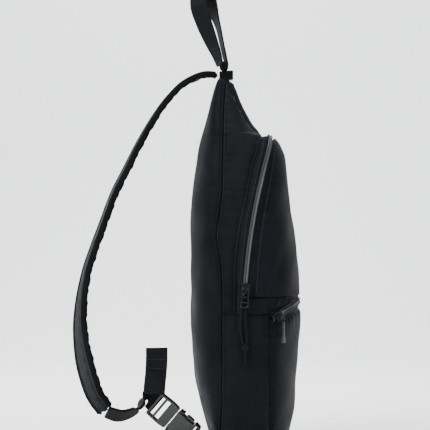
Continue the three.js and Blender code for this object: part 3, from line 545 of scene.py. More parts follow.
wraps = [KNOT + np.concatenate([2.6 * np.cos(5.6 * s + k), 3.3 * np.sin(5.6 * s + k),
                                (1.6 - 3.2 * s) * (1 - 2 * (k > 1))], 1) for k in (0.4, 3.0)]
tail_path = curve([[-108.6, 7.6, 126.5], [-108.7, 7.3, 121], [-108.6, 7.2, 114], [-108.5, 7.6, 108.2]], 30)
strands = {name: evenly(curve(points, 60), 60) for name, points in strand_points.items()}
knot = piece("pull_knot", [surface(knot_ball, closed=True, caps=True),
                           *(tube(w, CORD / 2, 12, (0.1, 0.2, 1)) for w in wraps), tube(tail_path, CORD / 2)],
             "main_pull", cord_braid, ["main_pull_knot"])
for name, path in strands.items():
    strand = piece(name + "_strand", tube(path, CORD / 2), "main_pull", cord_braid, [name])

# %% [markdown]
# ## Panels between seams
# Each panel is cut flat and sewn to its neighbours, so its shape is fixed along the seams and free
# between them. Here a panel runs between two seam lines on the bag's form. Near a seam the thread pulls
# the cloth in and gathers it a little, so a narrow valley and small puckers follow every edge; further
# in, slow waves and a few dents stand for the way a soft bag settles when it is empty.

# %% How cloth leaves the form
rng = np.random.default_rng(7)
WAVES = [(rng.uniform(0.002, 0.022, 3) * rng.choice([-1, 1], 3), rng.uniform(0, 2 * math.pi))
         for _ in range(14)]
# y, z, along y, along z, lean, depth: dents on the sides, seen on both
DENTS = [(52, 316, 7, 17, 0.5, 2.4), (21, 333, 5, 12, -0.4, 1.8), (17, 292, 5, 16, 0.3, 1.6),
         (47, 193, 7, 22, 0.2, 2.0), (40, 252, 6, 10, -0.6, 2.2), (-2, 120, 9, 30, 0.4, 1.6),
         (38, 92, 10, 24, -0.3, 1.7), (-26, 196, 3.5, 22, -0.25, 2.2), (-20, 250, 5, 20, -0.4, 1.4),
         (20, 60, 14, 12, 0.8, 1.6), (-42, 110, 8, 18, 0.2, 1.8), (8, 210, 8, 24, 0.2, 1.2)]


def settle(points, amount=1.0):
    """How far the cloth stands off the form: a sum of slow sine waves over x, y and z, less the dents,
    each a leaning Gaussian exp(-(u^2 + v^2) / 2) over y and z."""
    x, y, z = points[..., 0], points[..., 1], points[..., 2]
    off = sum(np.sin(points @ (2 * math.pi * wave) + phase) for wave, phase in WAVES) * 0.16
    for dy, dz, wide, tall, lean, depth in DENTS:
        u = (y - dy) - lean * (z - dz)
        hollow = np.exp(-0.5 * ((u / wide) ** 2 + ((z - dz) / tall) ** 2))
        off = off - depth * hollow * np.clip(np.abs(x) / 40, 0, 1)
    return amount * off


def gather(distance, along, depth=1.9, width=4.0, pucker=0.55, pitch=11.0):
    """The pull of a seam at a distance from it: a valley depth * exp(-(d / width)^2) and puckers across
    it, which are a sine wave along the seam that dies away over three widths."""
    wave = np.sin(2 * math.pi * along / pitch + 1.7 * np.sin(2 * math.pi * along / (3.3 * pitch)))
    fading = np.exp(-(distance / (3 * width)) ** 2) * (1 - np.exp(-(distance / (0.6 * width)) ** 2))
    return -depth * np.exp(-(distance / width) ** 2) + pucker * wave * fading


def dress(points, swell=1.5, calm=1.0, seams=(True, True, True, True), depth=1.9):
    """A grid on the form, made cloth: it stands off by the swell, the settling and the pull of the seams
    on its four edges, in the order first column, last column, first row, last row."""
    across, along = walked(points, 1), walked(points, 0)
    width, height = across[:, -1:], along[-1:]
    middle = np.clip(across / np.maximum(width, 1e-6), 0, 1)
    off = swell * np.sin(math.pi * middle) ** 0.5 + settle(points, calm)
    edges = ((across, along), (width - across, along), (along, across), (height - along, across))
    for use, (distance, way) in zip(seams, edges):
        if use:
            off = off * (1 - np.exp(-(distance / 5) ** 2)) + gather(distance, way, depth)
    return points + outward(points) * off[..., None]


def heights(z0, z1, rows):
    """Heights that are evenly spaced along the front's own profile, which lies almost flat near the
    top."""
    z = np.linspace(z0, z1, 600)
    profile = np.stack([0.6 * front_y(z), z], -1)
    gone = walked(profile, 0)
    return np.interp(np.linspace(0, gone[-1], rows), gone, z)[:, None]
print("pull beside a seam", gather(np.array([0.0, 4.0, 20.0]), 0.0).round(2), "mm")

# %% [markdown]
# Two ways of laying a grid on the form are enough for every panel: rows at one height each, between two
# seams, and strips that follow a seam up one side, over the top and down the other.

# %% Grids on the form
def between(low, high, z0, z1, rows, columns):
    """A grid on the form between two angles that depend on height, each row evenly spaced in distance."""
    z = heights(z0, z1, rows)
    dense = low(z) + (high(z) - low(z)) * np.linspace(0, 1, 300)
    gone = walked(skin(dense, z), 1)
    share = np.linspace(0, 1, columns)
    angle = np.stack([np.interp(share * g[-1], g, a) for g, a in zip(gone, dense)])
    return skin(angle, z + 0 * angle)


def at_depth(line, side=1):
    """The angle of a seam line, given as depth against height, on one side."""
    return lambda z: side * angle_at(line(z), z)


SEARCH_TOP = 372.0          # where the search for a seam's crossing of the middle ends
FLAP_TOP = 363.9            # the flap's highest row


def over_the_top(line, z0, count):
    """A seam line as a path: up the left side to where it meets the front's middle, and down the right
    side."""
    z = heights(z0, SEARCH_TOP, 900)[:, 0]
    y = line(z)
    z = z[:np.argmax(y < front_y(z)) + 1] if np.any(y < front_y(z)) else z
    left = skin(-angle_at(line(z), z), z)
    left[-1, 0] = 0
    return evenly(np.concatenate([left, (left * [-1, 1, 1])[::-1][1:]]), count)


def band(line_a, line_b, z0, rows, count):
    """A strip of cloth between two seam lines that both run over the top: each row is a line part way
    between."""
    share = np.linspace(0, 1, rows)
    return np.stack([over_the_top(lambda z, k=k: (1 - k) * line_a(z) + k * line_b(z), z0, count)
                     for k in share])


def normals_of(points):
    """Outward normals at the middle of each quad, to turn its faces by."""
    return outward((points[:-1, :-1] + points[1:, 1:]) / 2)


def cloth(name, grids, body, material, replaces, solidify=2.0):
    """A piece of cloth from grids on the form, with its thickness inwards."""
    return piece(name, [surface(g, facing=normals_of(g)) for g in grids], body, material, replaces,
                 solidify)
print("main zip line", round(float(walked(over_the_top(coil_line, BAND_Z, 400), 0)[-1])), "mm")

# %% [markdown]
# The back panel is one piece of cloth over the pad, from seam to seam round the back. It is the plainest
# panel, so it comes first. Its rows run from the left side round behind to the right.

# %% Back panel
BASE_TOP = 5.0
POCKET_EDGE = -21.0
back = dress(between(at_depth(back_seam), lambda z: 2 * math.pi - angle_at(back_seam(z), z), BASE_TOP,
                     BODY_HEIGHT, 190, 110), swell=1.2, seams=(True, True, False, False))
cloth("back_panel_cloth", [back], "bag", nylon, ["back_panel"])
print("back panel", round(float(walked(back, 1)[:, -1].max())), "mm round at its widest")

# %% [markdown]
# The gussets are the long side panels from the back seam to the zip tape. At the top they meet a small
# panel cut as a trapezoid. Below, shorter side panels run down to the base. Each pair is one shape made
# twice.

# %% Gussets and lower sides
def top_edge(z):
    """Half the angle of the small top panel: its half width falls from 27 mm at 360 mm by 0.15 mm a
    millimetre."""
    w = half_width(z)
    return np.arcsin(np.clip((27 - 0.15 * (z - 360)) / w, 0, 1) ** (FRONT_POWER / 2))


def gusset_front(z):
    """Angle of the gusset's front edge: the tape's seam and, near the top, the top panel's edge if that
    is further out."""
    return np.where(z > 366.4, np.maximum(angle_at(tape_seam(z), z), top_edge(z)), angle_at(tape_seam(z), z))


for name, side in (("left", -1), ("right", 1)):
    gusset = dress(between(lambda z: side * gusset_front(z), at_depth(back_seam, side), BAND_Z, BODY_HEIGHT,
                           150, 46), swell=1.8)
    cloth("gusset_" + name + "_cloth", [gusset], "bag", nylon, ["gusset_" + name])
    lower = dress(between(lambda z: side * angle_at(POCKET_EDGE, z), at_depth(back_seam, side), BASE_TOP,
                          BAND_Z, 110, 60), swell=2.2, seams=(True, True, False, True))
    cloth("side_lower_" + name + "_cloth", [lower], "bag", nylon, ["side_lower_" + name])
print("panels so far:", 5)


# %% [markdown]
# The pocket covers the lower front, under its own zip, which rises from the sides towards the middle. A
# narrow strip is left between that zip and the fold of the flap. Height and depth depend on each other
# along a slanted zip, so they are found by repeated substitution.

# %% Pocket and front strip
POCKET_LINE = (-28.0, 162.5, (175.5 - 162.5) / (-57.0 + 28.0))   # depth and height at the side, and the slope


def pocket_z(y):
    """Height of the pocket zip at a depth: a straight line in side view."""
    return POCKET_LINE[1] + POCKET_LINE[2] * (y - POCKET_LINE[0])


def on_front(share, low, high, t, edge=lambda z: 0 * z + POCKET_EDGE):
    """A grid on the front: across by a share of the angle out to an edge line, up by a share t between
    two heights that may depend on depth. Depth and height depend on each other, so they are found by
    going round a few times."""
    z = 0 * share + 170.0
    for _ in range(12):
        angle = share * angle_at(edge(z), z)
        y = skin(angle, z)[..., 1]
        z = low(y) + (high(y) - low(y)) * t
    return skin(share * angle_at(edge(z), z), z)


u = np.linspace(-1, 1, 130)[None, :]
v = np.linspace(0, 1, 90)[:, None]
pocket = dress(on_front(u + 0 * v, lambda y: BASE_TOP + 0 * y, lambda y: pocket_z(y) - 6.0, v + 0 * u),
               swell=2.4, seams=(True, True, False, True), depth=2.2)
cloth("pocket_cloth", [pocket], "bag", nylon, ["pocket_panel"])
few = np.linspace(0, 1, 9)[:, None]
for name, low, high in (("upper", 1.0, 6.0), ("lower", -6.0, -1.0)):
    tape = on_front(u + 0 * few, lambda y: pocket_z(y) + low, lambda y: pocket_z(y) + high, few + 0 * u)
    cloth("pocket_tape_" + name + "_cloth",
          [tape + outward(tape) * (-0.4 * np.abs(few[..., None] - (name == "lower")))],
          "bag", tape_cloth, ["pocket_tape_" + name], 0.8)
strip = on_front(u + 0 * few, lambda y: np.where(y > POCKET_EDGE, BAND_Z, pocket_z(y) + 6.0), lambda y: 183
                 + 0 * y, few + 0 * u, coil_line)
cloth("front_strip_cloth", [dress(strip, swell=0.3, calm=0.5, depth=1.2)], "bag", nylon, ["front_strip"])
print("pocket", round(float(walked(pocket, 1)[:, -1].max())), "mm round at its widest")

# %% [markdown]
# The flap is the upper front, hinged at its lower edge and zipped round the rest. Its tape and the body's
# tape meet at the coil, so both are strips that run up one leg, over the top and down the other.

# %% Flap and main zip tapes
flap = dress(between(at_depth(flap_seam, -1), at_depth(flap_seam, 1), FLAP_Z + 0.4, FLAP_TOP, 130, 120),
             swell=2.0, seams=(True, True, False, False), depth=2.0)
cloth("flap_cloth", [flap], "flap", nylon, ["flap_panel"])
for name, first, second, start, body in (("body", tape_seam, coil_line, BAND_Z,
                                          "bag"), ("flap", coil_line, flap_seam, FLAP_Z + 0.4, "flap")):
    tape = dress(band(first, second, start, 11, 420), swell=-0.5, calm=0.2, seams=(False, False, True, False)
                 if name == "body" else (False, False, False, True), depth=1.9)
    cloth("main_tape_" + name + "_cloth", [tape], body, tape_cloth, ["main_tape_" + name], 0.8)
print("flap", round(float(walked(flap, 1)[:, -1].max())), "mm wide")

# %% [markdown]
# The top panel lies back from the end of the zip to the apex, and catches the light. It is cut as a
# trapezoid, so its width is a straight line in height.

# %% Top panel
u = np.linspace(-1, 1, 41)[None, :]
v = np.linspace(0, 1, 60)[:, None]
rim = np.linspace(366.9, 369.0, 60)
rim_x = skin(angle_at(tape_seam(rim), rim), rim)[:, 0]
rim_z = np.interp(np.abs(u) * 26, rim_x[::-1], rim[::-1])
top_z = rim_z + (BODY_HEIGHT - rim_z) * v ** 1.4
top_share = np.clip(np.abs(u) * (27 - 0.15 * (top_z - 360)) / half_width(top_z), 0, 1)
top = skin(np.sign(u) * np.arcsin(top_share ** (FRONT_POWER / 2)), top_z)
cloth("top_panel_cloth", [dress(top, swell=1.6, calm=0.6)], "bag", nylon, ["top_panel"])
print("top panel", round(float(walked(top, 0)[-1].max())), "mm long")

# %% [markdown]
# ## Top and bottom
# The bottom is a stiff board covered in the shell cloth, with its edge rounded over, so that the bag can
# stand. The very top closes over in a small cap, under the block of webbing that the strap and the grab
# loop are sewn to.

# %% Bottom board and top cap
around = np.linspace(0, 2 * math.pi, 120, endpoint=False)[None, :]


def shrunk(z, inset, height):
    """A ring of the form at one height, drawn in towards the middle by an inset and set at another
    height."""
    ring = skin(around, z + 0 * around)
    centre = np.array([0, float(section(z)[3]), 0])
    length = np.linalg.norm((ring - centre)[..., :2], axis=-1, keepdims=True)
    ring = centre + (ring - centre) * (1 - inset / length)
    ring[..., 2] = height
    return ring


board = [shrunk(0.0, inset, height) for inset, height in
         ((70, 0.0), (36, 0.0), (8, 0.0), (3.2, 0.1), (1.4, 0.7), (0.3, 2.0), (0.0, 3.6), (0.8, 5.0),
          (4, 5.2), (36, 5.2))]
piece("bottom_board", surface(np.concatenate(board), closed=True, caps=True), "bag", nylon, ["bottom_panel"])
cap = [shrunk(BODY_HEIGHT, inset, BODY_HEIGHT + lift) for inset, lift in
       ((1.2, -3.0), (0.9, -0.6), (1.6, 0.4), (3, 0.5), (7, 0.3))]
piece("top_cap", surface(np.concatenate(cap), closed=True, caps=True), "bag", nylon)
print("board", (np.ptp(np.concatenate(board), (0, 1))[:2]).round(), "mm across and deep")

# %% [markdown]
# ## Coil zips
# A coil zip is two spirals of nylon line, one sewn along the edge of each tape. The loops of one catch
# behind the loops of the other, so the closed zip looks like a fine herringbone cord with a ridge along
# each side. Each half is one long profile here, whose height and reach swell and shrink once for each
# loop. The loops are 1.5 mm apart, and the two halves are half a loop out of step, which is how they
# lock.

# %% Coils


def main_zip(left_start, right_start):
    """The main zip's line with its width and outward directions. The legs are the slider's own arc; the
    shoulders and the top follow the form, and between them the direction out of the cloth turns from one
    to the other."""
    def leg(start):
        """The seat's places and outward directions, from a start angle to the end of its travel."""
        place, _, _, out = stations(main_seat, np.linspace(start, leg_travel, 60))
        return place, out
    (left, left_out), (right, right_out) = leg(left_start), leg(right_start)
    shoulder = np.array([side_point(y, z) for y, z in ((-14.8, 330.0), (-18.6, 345.0), (-21.3, 357.0),
                                                       (-22.4, 363.6))])
    mirror = np.array([-1.0, 1, 1])
    over = curve([left[-9], left[-1], *shoulder, [0, -22.5, 366.6], *(shoulder * mirror)[::-1],
                  (left * mirror)[-1], (left * mirror)[-9]], 700)
    keep = over[:, 2] > left[-1, 2] + 1.5
    path = np.concatenate([left, over[keep], (right * mirror)[::-1]])
    near = np.clip(np.abs(over[keep][:, :1]) / abs(left[-1, 0]), 0, 1) ** 6
    side_out = np.where(over[keep][:, :1] < 0, left_out[-1], left_out[-1] * mirror)
    out = np.concatenate([left_out, outward(over[keep]) * (1 - near) + side_out * near,
                          (right_out * mirror)[::-1]])
    gone = walked(path, 0)
    count = int(gone[-1] / 0.25)
    at = np.linspace(0, gone[-1], count)
    path = np.stack([np.interp(at, gone, path[:, k]) for k in range(3)], -1)
    out = np.stack([np.interp(at, gone, out[:, k]) for k in range(3)], -1)
    _, out, _ = frames(path, out)
    along = unit(np.gradient(path, axis=0))
    return path, np.cross(out, along), out


def coil(path, across, out, side, phase):
    """Half a coil: a low arch from the middle to its outer edge. reach and height each follow a sine of
    the distance walked, one turn for each loop."""
    turns = 2 * math.pi * walked(path, 0) / 1.5 + phase
    lump = (0.5 + 0.5 * np.sin(turns))[:, None]
    a = np.linspace(0, 1, 8)[None, :]
    reach = 0.12 + (2.58 - 0.35 * (1 - lump)) * a
    ridge = 0.55 + 0.45 * np.exp(-((a - 0.82) / 0.16) ** 2)
    height = 0.9 + (1.15 + 0.5 * lump) * ridge * np.clip(np.sin(math.pi * np.clip(a, 0.06, 0.97)), 0,
                                                         1) ** 0.35
    top = np.stack([side * reach + 0 * height, height], -1)
    under = np.stack([side * reach[:, ::-1], 0.7 + 0 * height], -1)
    return surface(carry(path, across, out, np.concatenate([top, under], 1)), closed=True, caps=True)


ABOVE_SLIDER = math.radians(1.1)
START = math.radians(1.35)
piece("main_coil_body_teeth", coil(*main_zip(-START, -START), 1, 0.0), "bag", coil_nylon, ["main_coil_body"])
piece("main_coil_flap_teeth", coil(*main_zip(ABOVE_SLIDER, -START), -1, math.pi), "flap", coil_nylon,
      ["main_coil_flap"])
pocket_path, _, pocket_across, pocket_out = stations(
    pocket_seat, np.linspace(-math.radians(3), pocket_travel + math.radians(3), 820))
for name, side in (("upper", 1), ("lower", -1)):
    piece("pocket_coil_" + name + "_teeth", coil(pocket_path, pocket_across, pocket_out, side,
                                                 side * math.pi / 2),
          "bag", coil_nylon, ["pocket_coil_" + name])
print("main zip", round(float(walked(main_zip(-START, -START)[0], 0)[-1])), "mm")

# %% [markdown]
# ## Stitching and piping
# Each seam is topped by a row of lockstitches: short lengths of thread that dip into the cloth at each
# end. The back seams have a folded piping sewn in, a thin cord in a strip of cloth, which keeps the bag's
# outline crisp.

# %% Stitches and piping
def stitches(path, out, pitch=3.2, length=2.4, radius=0.28, lift=0.25, sides=6):
    """Lockstitches along a path, as one surface each: an arc of length l that rises by lift * sin(pi t)
    at share t, with a round section that narrows to a quarter at its ends."""
    gone = walked(path, 0)
    starts = np.arange(pitch / 2, gone[-1] - pitch, pitch)
    t = np.linspace(0, 1, 5)
    at = starts[:, None] + length * t
    place = np.stack([np.interp(at, gone, path[:, k]) for k in range(3)], -1)
    up = np.stack([np.interp(at, gone, out[:, k]) for k in range(3)], -1)
    along = unit(np.gradient(place, axis=1))
    up = unit(up - along * np.sum(up * along, -1, keepdims=True))
    side = np.cross(along, up)
    place = place + up * (lift * np.sin(math.pi * t) - 0.05)[None, :, None]
    ring = circle(1.0, sides)
    size = (radius * (0.25 + 0.75 * np.sin(math.pi * t)) )[None, :, None, None]
    grid = place[:, :, None] + size * (side[:, :, None] * ring[:, :1] + up[:, :, None] * ring[:, 1:])
    n, r = grid.shape[0], grid.shape[1]
    k, i, j = np.meshgrid(np.arange(n), np.arange(r - 1), np.arange(sides), indexing="ij")
    base = k * r * sides
    m = (j + 1) % sides
    quads = np.stack([base + i * sides + j, base + i * sides + m, base + (i + 1) * sides + m,
                      base + (i + 1) * sides + j], -1).reshape(-1, 4)
    ends = [base[:, 0, 0][:, None] + np.arange(sides)[::-1], base[:, 0, 0][:, None] + (r - 1) * sides
            + np.arange(sides)]
    faces = list(quads) + list(ends[0]) + list(ends[1])
    flat = grid.reshape(-1, 3)
    return flat, [f[::-1] for f in faces], [np.zeros((len(f), 2)) for f in faces]

# %% [markdown]
# Topstitching runs a few millimetres beside each seam, and is what holds the folded edge flat. Each stitch is
# laid as its own small closed surface of 26 faces, which stays crisp where a painted line would blur.

# %% Rows of stitches and the piping
def lifted(path, height):
    """A path on the form set off from it, following the settling that the panels have there."""
    return path + outward(path) * (height + settle(path)[:, None] * 0.5)


def seam_path(line, z0, z1, shift, side, count=260):
    """A line beside a seam, by a shift in depth, on one side."""
    z = np.linspace(z0, z1, count)
    return skin(side * angle_at(line(z) + shift, z), z)


piping, rows = [], []
for side in (-1, 1):
    path = seam_path(back_seam, 6.0, 431.0, 0, side)
    piping.append(tube(lifted(path, -0.9), 1.5, 10, outward(path)))
piece("back_piping", piping, "bag", binding_cloth)
flap_rows = []
for side in (-1, 1):
    for line, z0, z1, shift, group in ((back_seam, 10.0, 428.0, -3.2, rows), (tape_seam, 168.0, 364.0, 3.0,
                                                                              rows),
                                       (coil_line, 168.0, 362.0, 6.4, rows), (flap_seam, 188.0, 358.0, -2.6,
                                                                              flap_rows)):
        path = seam_path(line, z0, z1, shift, side)
        group.append(stitches(lifted(path, 0.7 if line is not coil_line else 0.2), outward(path)))
piece("body_topstitch", rows, "bag", thread)
piece("flap_topstitch", flap_rows, "flap", thread)
u = np.linspace(-0.985, 0.985, 400)
pocket_rows = []
for height in (-4.8, -8.6, 4.8):
    path = on_front(u, lambda y: pocket_z(y) + height, lambda y: pocket_z(y) + height, 0 * u)
    pocket_rows.append(stitches(path + outward(path) * (0.5 if abs(height) < 5 else 0.6), outward(path)))
piece("pocket_topstitch", pocket_rows, "bag", thread)
print("rows of stitches:", len(rows) + len(flap_rows) + len(pocket_rows))

# %% [markdown]
# ## Sliders and pulls
# The sliders are die-cast zinc, plated black nickel: a plate with turned-down flanges over the coil, and
# a bridge that the pull hangs from. The main pull is a long open ring with an eye for the cord. The
# pocket's has a small wire link and a moulded tab. Each block is a pillow, a box whose corners are
# rounded by a superellipse, because cast parts have no sharp edge.

# %% Cast pieces, sliders and pulls
def signed_power(v, power):
    """The size of each number raised to a power, with its own sign."""
    return np.sign(v) * np.abs(v) ** power


def pillow(low, high, softness=0.25, rows=14, columns=32):
    """A box with rounded corners, the superellipsoid x = a c(v) c(u), y = b c(v) s(u), z = c s(v), where
    c and s are cosine and sine raised to the softness."""
    low, high = np.array(low, float), np.array(high, float)
    u = np.linspace(0, 2 * math.pi, columns, endpoint=False)[None, :]
    v = np.linspace(-math.pi / 2 + 0.01, math.pi / 2 - 0.01, rows)[:, None]
    ball = np.stack([signed_power(np.cos(v), softness) * signed_power(np.cos(u), softness),
                     signed_power(np.cos(v), softness) * signed_power(np.sin(u), softness),
                     signed_power(np.sin(v), softness) + 0 * u], -1)
    return (low + high) / 2 + ball * (high - low) / 2


def seated(points, seat):
    """Points given as across, along and out of a slider's seat."""
    basis = np.stack([seat["across"], seat["along"], seat["out"]])
    return seat["p"] + points @ basis


def in_seat(seat, *grids):
    """Closed surfaces from grids that are given in a seat's directions."""
    return [surface(seated(g, seat), closed=True, caps=True) for g in grids]


def wire(points, radius, squash=1.0, up=(0, 0, 1), sides=12, count=120, closed=True):
    """A bent wire in seat directions: a round section, pressed flat by squash, along a smooth path."""
    path = curve(points, count)
    if closed:
        path[-1] = path[0]
    _, across, out = frames(path, np.cross(np.gradient(path, axis=0), up))
    return carry(path, across, out, circle(radius, sides) * [1, squash])


slider_blocks = [pillow((-5, -5.5, 3.1), (5, 5.5, 4.5), 0.22), pillow((-5, -5.5, 1.2), (-3.7, 5.5, 4.0), 0.3),
                 pillow((3.7, -5.5, 1.2), (5, 5.5, 4.0), 0.3),
                 wire([[0, -3.9, 4.0], [0, -3.9, 6.4], [0, -2.9, 7.4], [0, 0, 7.55], [0, 2.9, 7.4],
                       [0, 3.9, 6.4], [0, 3.9, 4.0]], 0.8, 0.62, (1, 0, 0), closed=False)]
piece("main_slider_cast", in_seat(main_seat, *slider_blocks), "main_slider", black_nickel,
      ["main_slider_body"])
piece("pocket_slider_cast", in_seat(pocket_seat, *slider_blocks), "pocket_slider", black_nickel,
      ["pocket_slider_body"])
print("slider blocks:", len(slider_blocks))

# %% [markdown]
# The main pull is a tapered ring in one casting with a bar across it, and is made here from one closed
# wire and a short bar, both pressed flat. The pocket's link is a plain wire, and its tab is a moulding
# that flares at the end so that fingers don't slip.

# %% Pulls and stops
PULL = 5.67
ring = [[-2.0, 0, PULL], [0, 0.1, PULL], [2.0, 0, PULL], [3.2, -1.6, PULL], [3.7, -9, PULL],
        [4.25, -17.5, PULL],
        [4.1, -19.6, PULL], [3.0, -20.7, PULL], [0, -20.8, PULL], [-3.0, -20.7, PULL], [-4.1, -19.6, PULL],
        [-4.25, -17.5, PULL], [-3.7, -9, PULL], [-3.2, -1.6, PULL], [-2.0, 0, PULL]]
bar = [[-3.6, -15.4, PULL], [0, -15.4, PULL], [3.6, -15.4, PULL]]
piece("main_pull_cast", in_seat(main_seat, wire(ring, 1.0, 0.75, count=200),
                                wire(bar, 0.95, 0.75, closed=False)),
      "main_pull", black_nickel, ["main_pull_ring"])
turn = np.linspace(0, math.pi, 12)
LINK_OUT = 7.45
link = [*np.stack([1.75 * np.sin(turn), 0 * turn, LINK_OUT + 1.75 * np.cos(turn)], -1),
        *np.stack([-5 - 1.75 * np.sin(turn), 0 * turn, LINK_OUT - 1.75 * np.cos(turn)], -1)]
link.append(link[0])
piece("pocket_link_wire", in_seat(pocket_seat, wire(link, 0.6, up=(0, 1, 0), count=90)), "pocket_pull",
      black_nickel, ["pocket_pull_link"])
bar_centre = pocket_seat["p"] + pocket_seat["out"] * LINK_OUT
zip_way = unit(pocket_seat["along"] * [1, 1, 0])
tab_top = bar_centre - pocket_seat["across"] * 7.85
drop = np.linspace(0, 23, 40)
tab_path = tab_top - drop[:, None] * [0, 0, 1]
tab_width = through([[0, 3.4], [1, 4.2], [12, 4.2], [17, 5.2], [20, 7.4], [22, 7.4], [23, 6.2]])(drop)
tab_thick = through([[0, 1.2], [1.5, 1.9], [17, 1.7], [20, 1.3], [22, 1.9], [23, 1.2]])(drop)
tab_outline = rounded(1, 1, 28, 3.2)[None] * np.stack([tab_width, tab_thick], -1)[:, None]
away = np.cross(zip_way, [0, 0, 1])
piece("pocket_tab_moulding", surface(carry(tab_path, zip_way + 0 * tab_path, away + 0 * tab_path,
                                           tab_outline), closed=True, caps=True),
      "pocket_pull", acetal, ["pocket_pull_tab"])


def stop_seat(seat, angle, mirror=False):
    """A seat turned along its zip by an angle, and mirrored in the middle plane if asked."""
    place, along, across, out = (a[0] for a in stations(seat, np.array([angle])))
    flip = np.array([-1.0, 1, 1]) if mirror else 1
    return {"p": place * flip, "along": along * flip, "across": across * flip, "out": out * flip}


stop = pillow((-2.9, -1.4, 0.7), (2.9, 1.4, 3.1), 0.35)
main_stop = -math.radians(1.35 + 0.28)
for name, seat in (("main_stop_left", stop_seat(main_seat, main_stop)),
                   ("main_stop_right", stop_seat(main_seat, main_stop, True)),
                   ("pocket_stop_left", stop_seat(pocket_seat, -math.radians(3.8))),
                   ("pocket_stop_right", stop_seat(pocket_seat, pocket_travel + math.radians(3.8)))):
    piece(name + "_cast", in_seat(seat, stop), "bag", black_nickel, [name])
print("pocket tab", float(drop[-1]), "mm long")

# %% [markdown]
# ## The grab loop and the block it stands on
# The loop is one length of 25 mm webbing, folded over and sewn into the top with the strap. Webbing is
# stiff across its width, so it twists as it rises instead of curling, and it stands a little open. The
# ends are rolled into the seam under a wrapped block, which is stitched through and through.

# %% Webbing, grab loop and anchor
WEBBING = 1.8


def ribbon(path, width_way, width=25.0, thick=WEBBING, sides=28):
    """Flat webbing: a thin superellipse carried along a path, its edges a little fuller than its
    middle."""
    _, across, out = frames(path, width_way)
    outline = rounded(1, 1, sides, 6.0)
    edge = 1 + 0.22 * np.clip((np.abs(outline[:, :1]) - 0.40) / 0.08, 0, 1)
    outline = np.concatenate([outline[:, :1], outline[:, 1:] * edge], 1)
    size = np.stack([width + np.zeros(len(path)), thick + np.zeros(len(path))], -1)
    return carry(path, across, out, outline[None] * size[:, None]), across, out

# %% [markdown]
# Webbing is sewn down with a box of stitches, because a single row would tear out under load. The box is
# two rows along and two across, on both faces.

# %% Box stitches and the grab loop
def box_stitch(path, across, out, first, last, half, thick):
    """A sewn box on webbing: two rows of stitches along it and two across, on both faces."""
    rows = []
    for face in (-1, 1):
        lift = out * (face * (thick / 2 + 0.15))
        for edge in (-half, half):
            rows.append(stitches((path + across * edge + lift)[first:last], (out * face)[first:last],
                                 lift=0.2))
        for end in (first, last - 1):
            line = np.linspace(-half, half, 30)[:, None]
            rows.append(stitches(path[end] + across[end] * line + lift[end], out[end] * face + 0 * line,
                                 lift=0.2))
    return rows


loop_path = curve([[-3, 35, 448.8], [-4, 38.5, 460], [-6, 46.5, 480], [-7, 55, 502], [-5, 60.5, 522],
                   [0, 58.5, 536],
                   [4, 51.5, 534], [7, 44.5, 518], [6, 37.5, 497], [4, 32.5, 474], [3, 27, 448.8]], 220)
lean = through([[0, 0.25], [0.25, 0.75], [0.45, 0.9], [0.6, 0.6], [0.75, 0.2], [1, 0.12]])(np.linspace(0, 1,
                                                                                                       220))
loop_way = (np.cos(lean)[:, None] * [1, 0, 0] + np.sin(lean)[:, None] * unit(np.array([0, 1, -0.35])))
loop_grid, loop_across, loop_out = ribbon(loop_path, loop_way)
roll = np.linspace(-13, 13, 30)
roll_path = np.stack([roll, 30.5 + 0 * roll, 448.8 + 0 * roll], -1)
roll_grid = carry(roll_path, [0, 1, 0] + 0 * roll_path, [0, 0, 1] + 0 * roll_path,
                  rounded(10.6, 10.6, 32, 2.2)[None] * (1 - 0.16 * np.abs(roll / 13) ** 8)[:, None, None])
loop_grids = [surface(grid, closed=True, caps=True) for grid in (loop_grid, roll_grid)]
piece("grab_loop_webbing", loop_grids, "loop", webbing_cloth, ["grab_loop"])
piece("grab_loop_stitches", box_stitch(loop_path, loop_across, loop_out, 8, 26, 9.5, WEBBING)
      + box_stitch(loop_path, loop_across, loop_out, 196, 212, 9.5, WEBBING), "loop", thread)
wedge = np.array([[-16, 20], [0, 19.6], [16, 20], [16, 23], [8, 29.8], [0, 36.4], [-8, 29.8], [-16, 23],
                  [-16, 20]])
wedge = evenly(np.concatenate([wedge, 0 * wedge[:, :1]], 1), 97)[:-1]
tiers = [wedge + [0, 0, 433.4 + 9.6 * k] + (wedge - [0, 27, 0]) * -0.06 * abs(math.cos(3 * math.pi * k)) ** 6
         for k in np.linspace(0, 1, 25)]
tiers = [tiers[0] * 0.4 + [0, 16.2, 260.04]] + tiers + [tiers[-1] * 0.4 + [0, 16.2, 265.8]]
blocks = [np.array(tiers)]
piece("apex_block", [surface(b, closed=True, caps=True) for b in blocks], "bag", webbing_cloth,
      ["apex_anchor"])
print("grab loop webbing", round(float(walked(loop_path, 0)[-1])), "mm long")

# %% [markdown]
# ## The padded shoulder strap
# The strap is two layers of cloth over thin foam, bound along both edges with folded tape. The foam
# fights the binding, so the edges look lumpy, and the flat faces pucker across. It narrows at both ends
# to the webbing. It is one lens-shaped profile along a smooth arc, with a soft tube for the binding on
# each side.

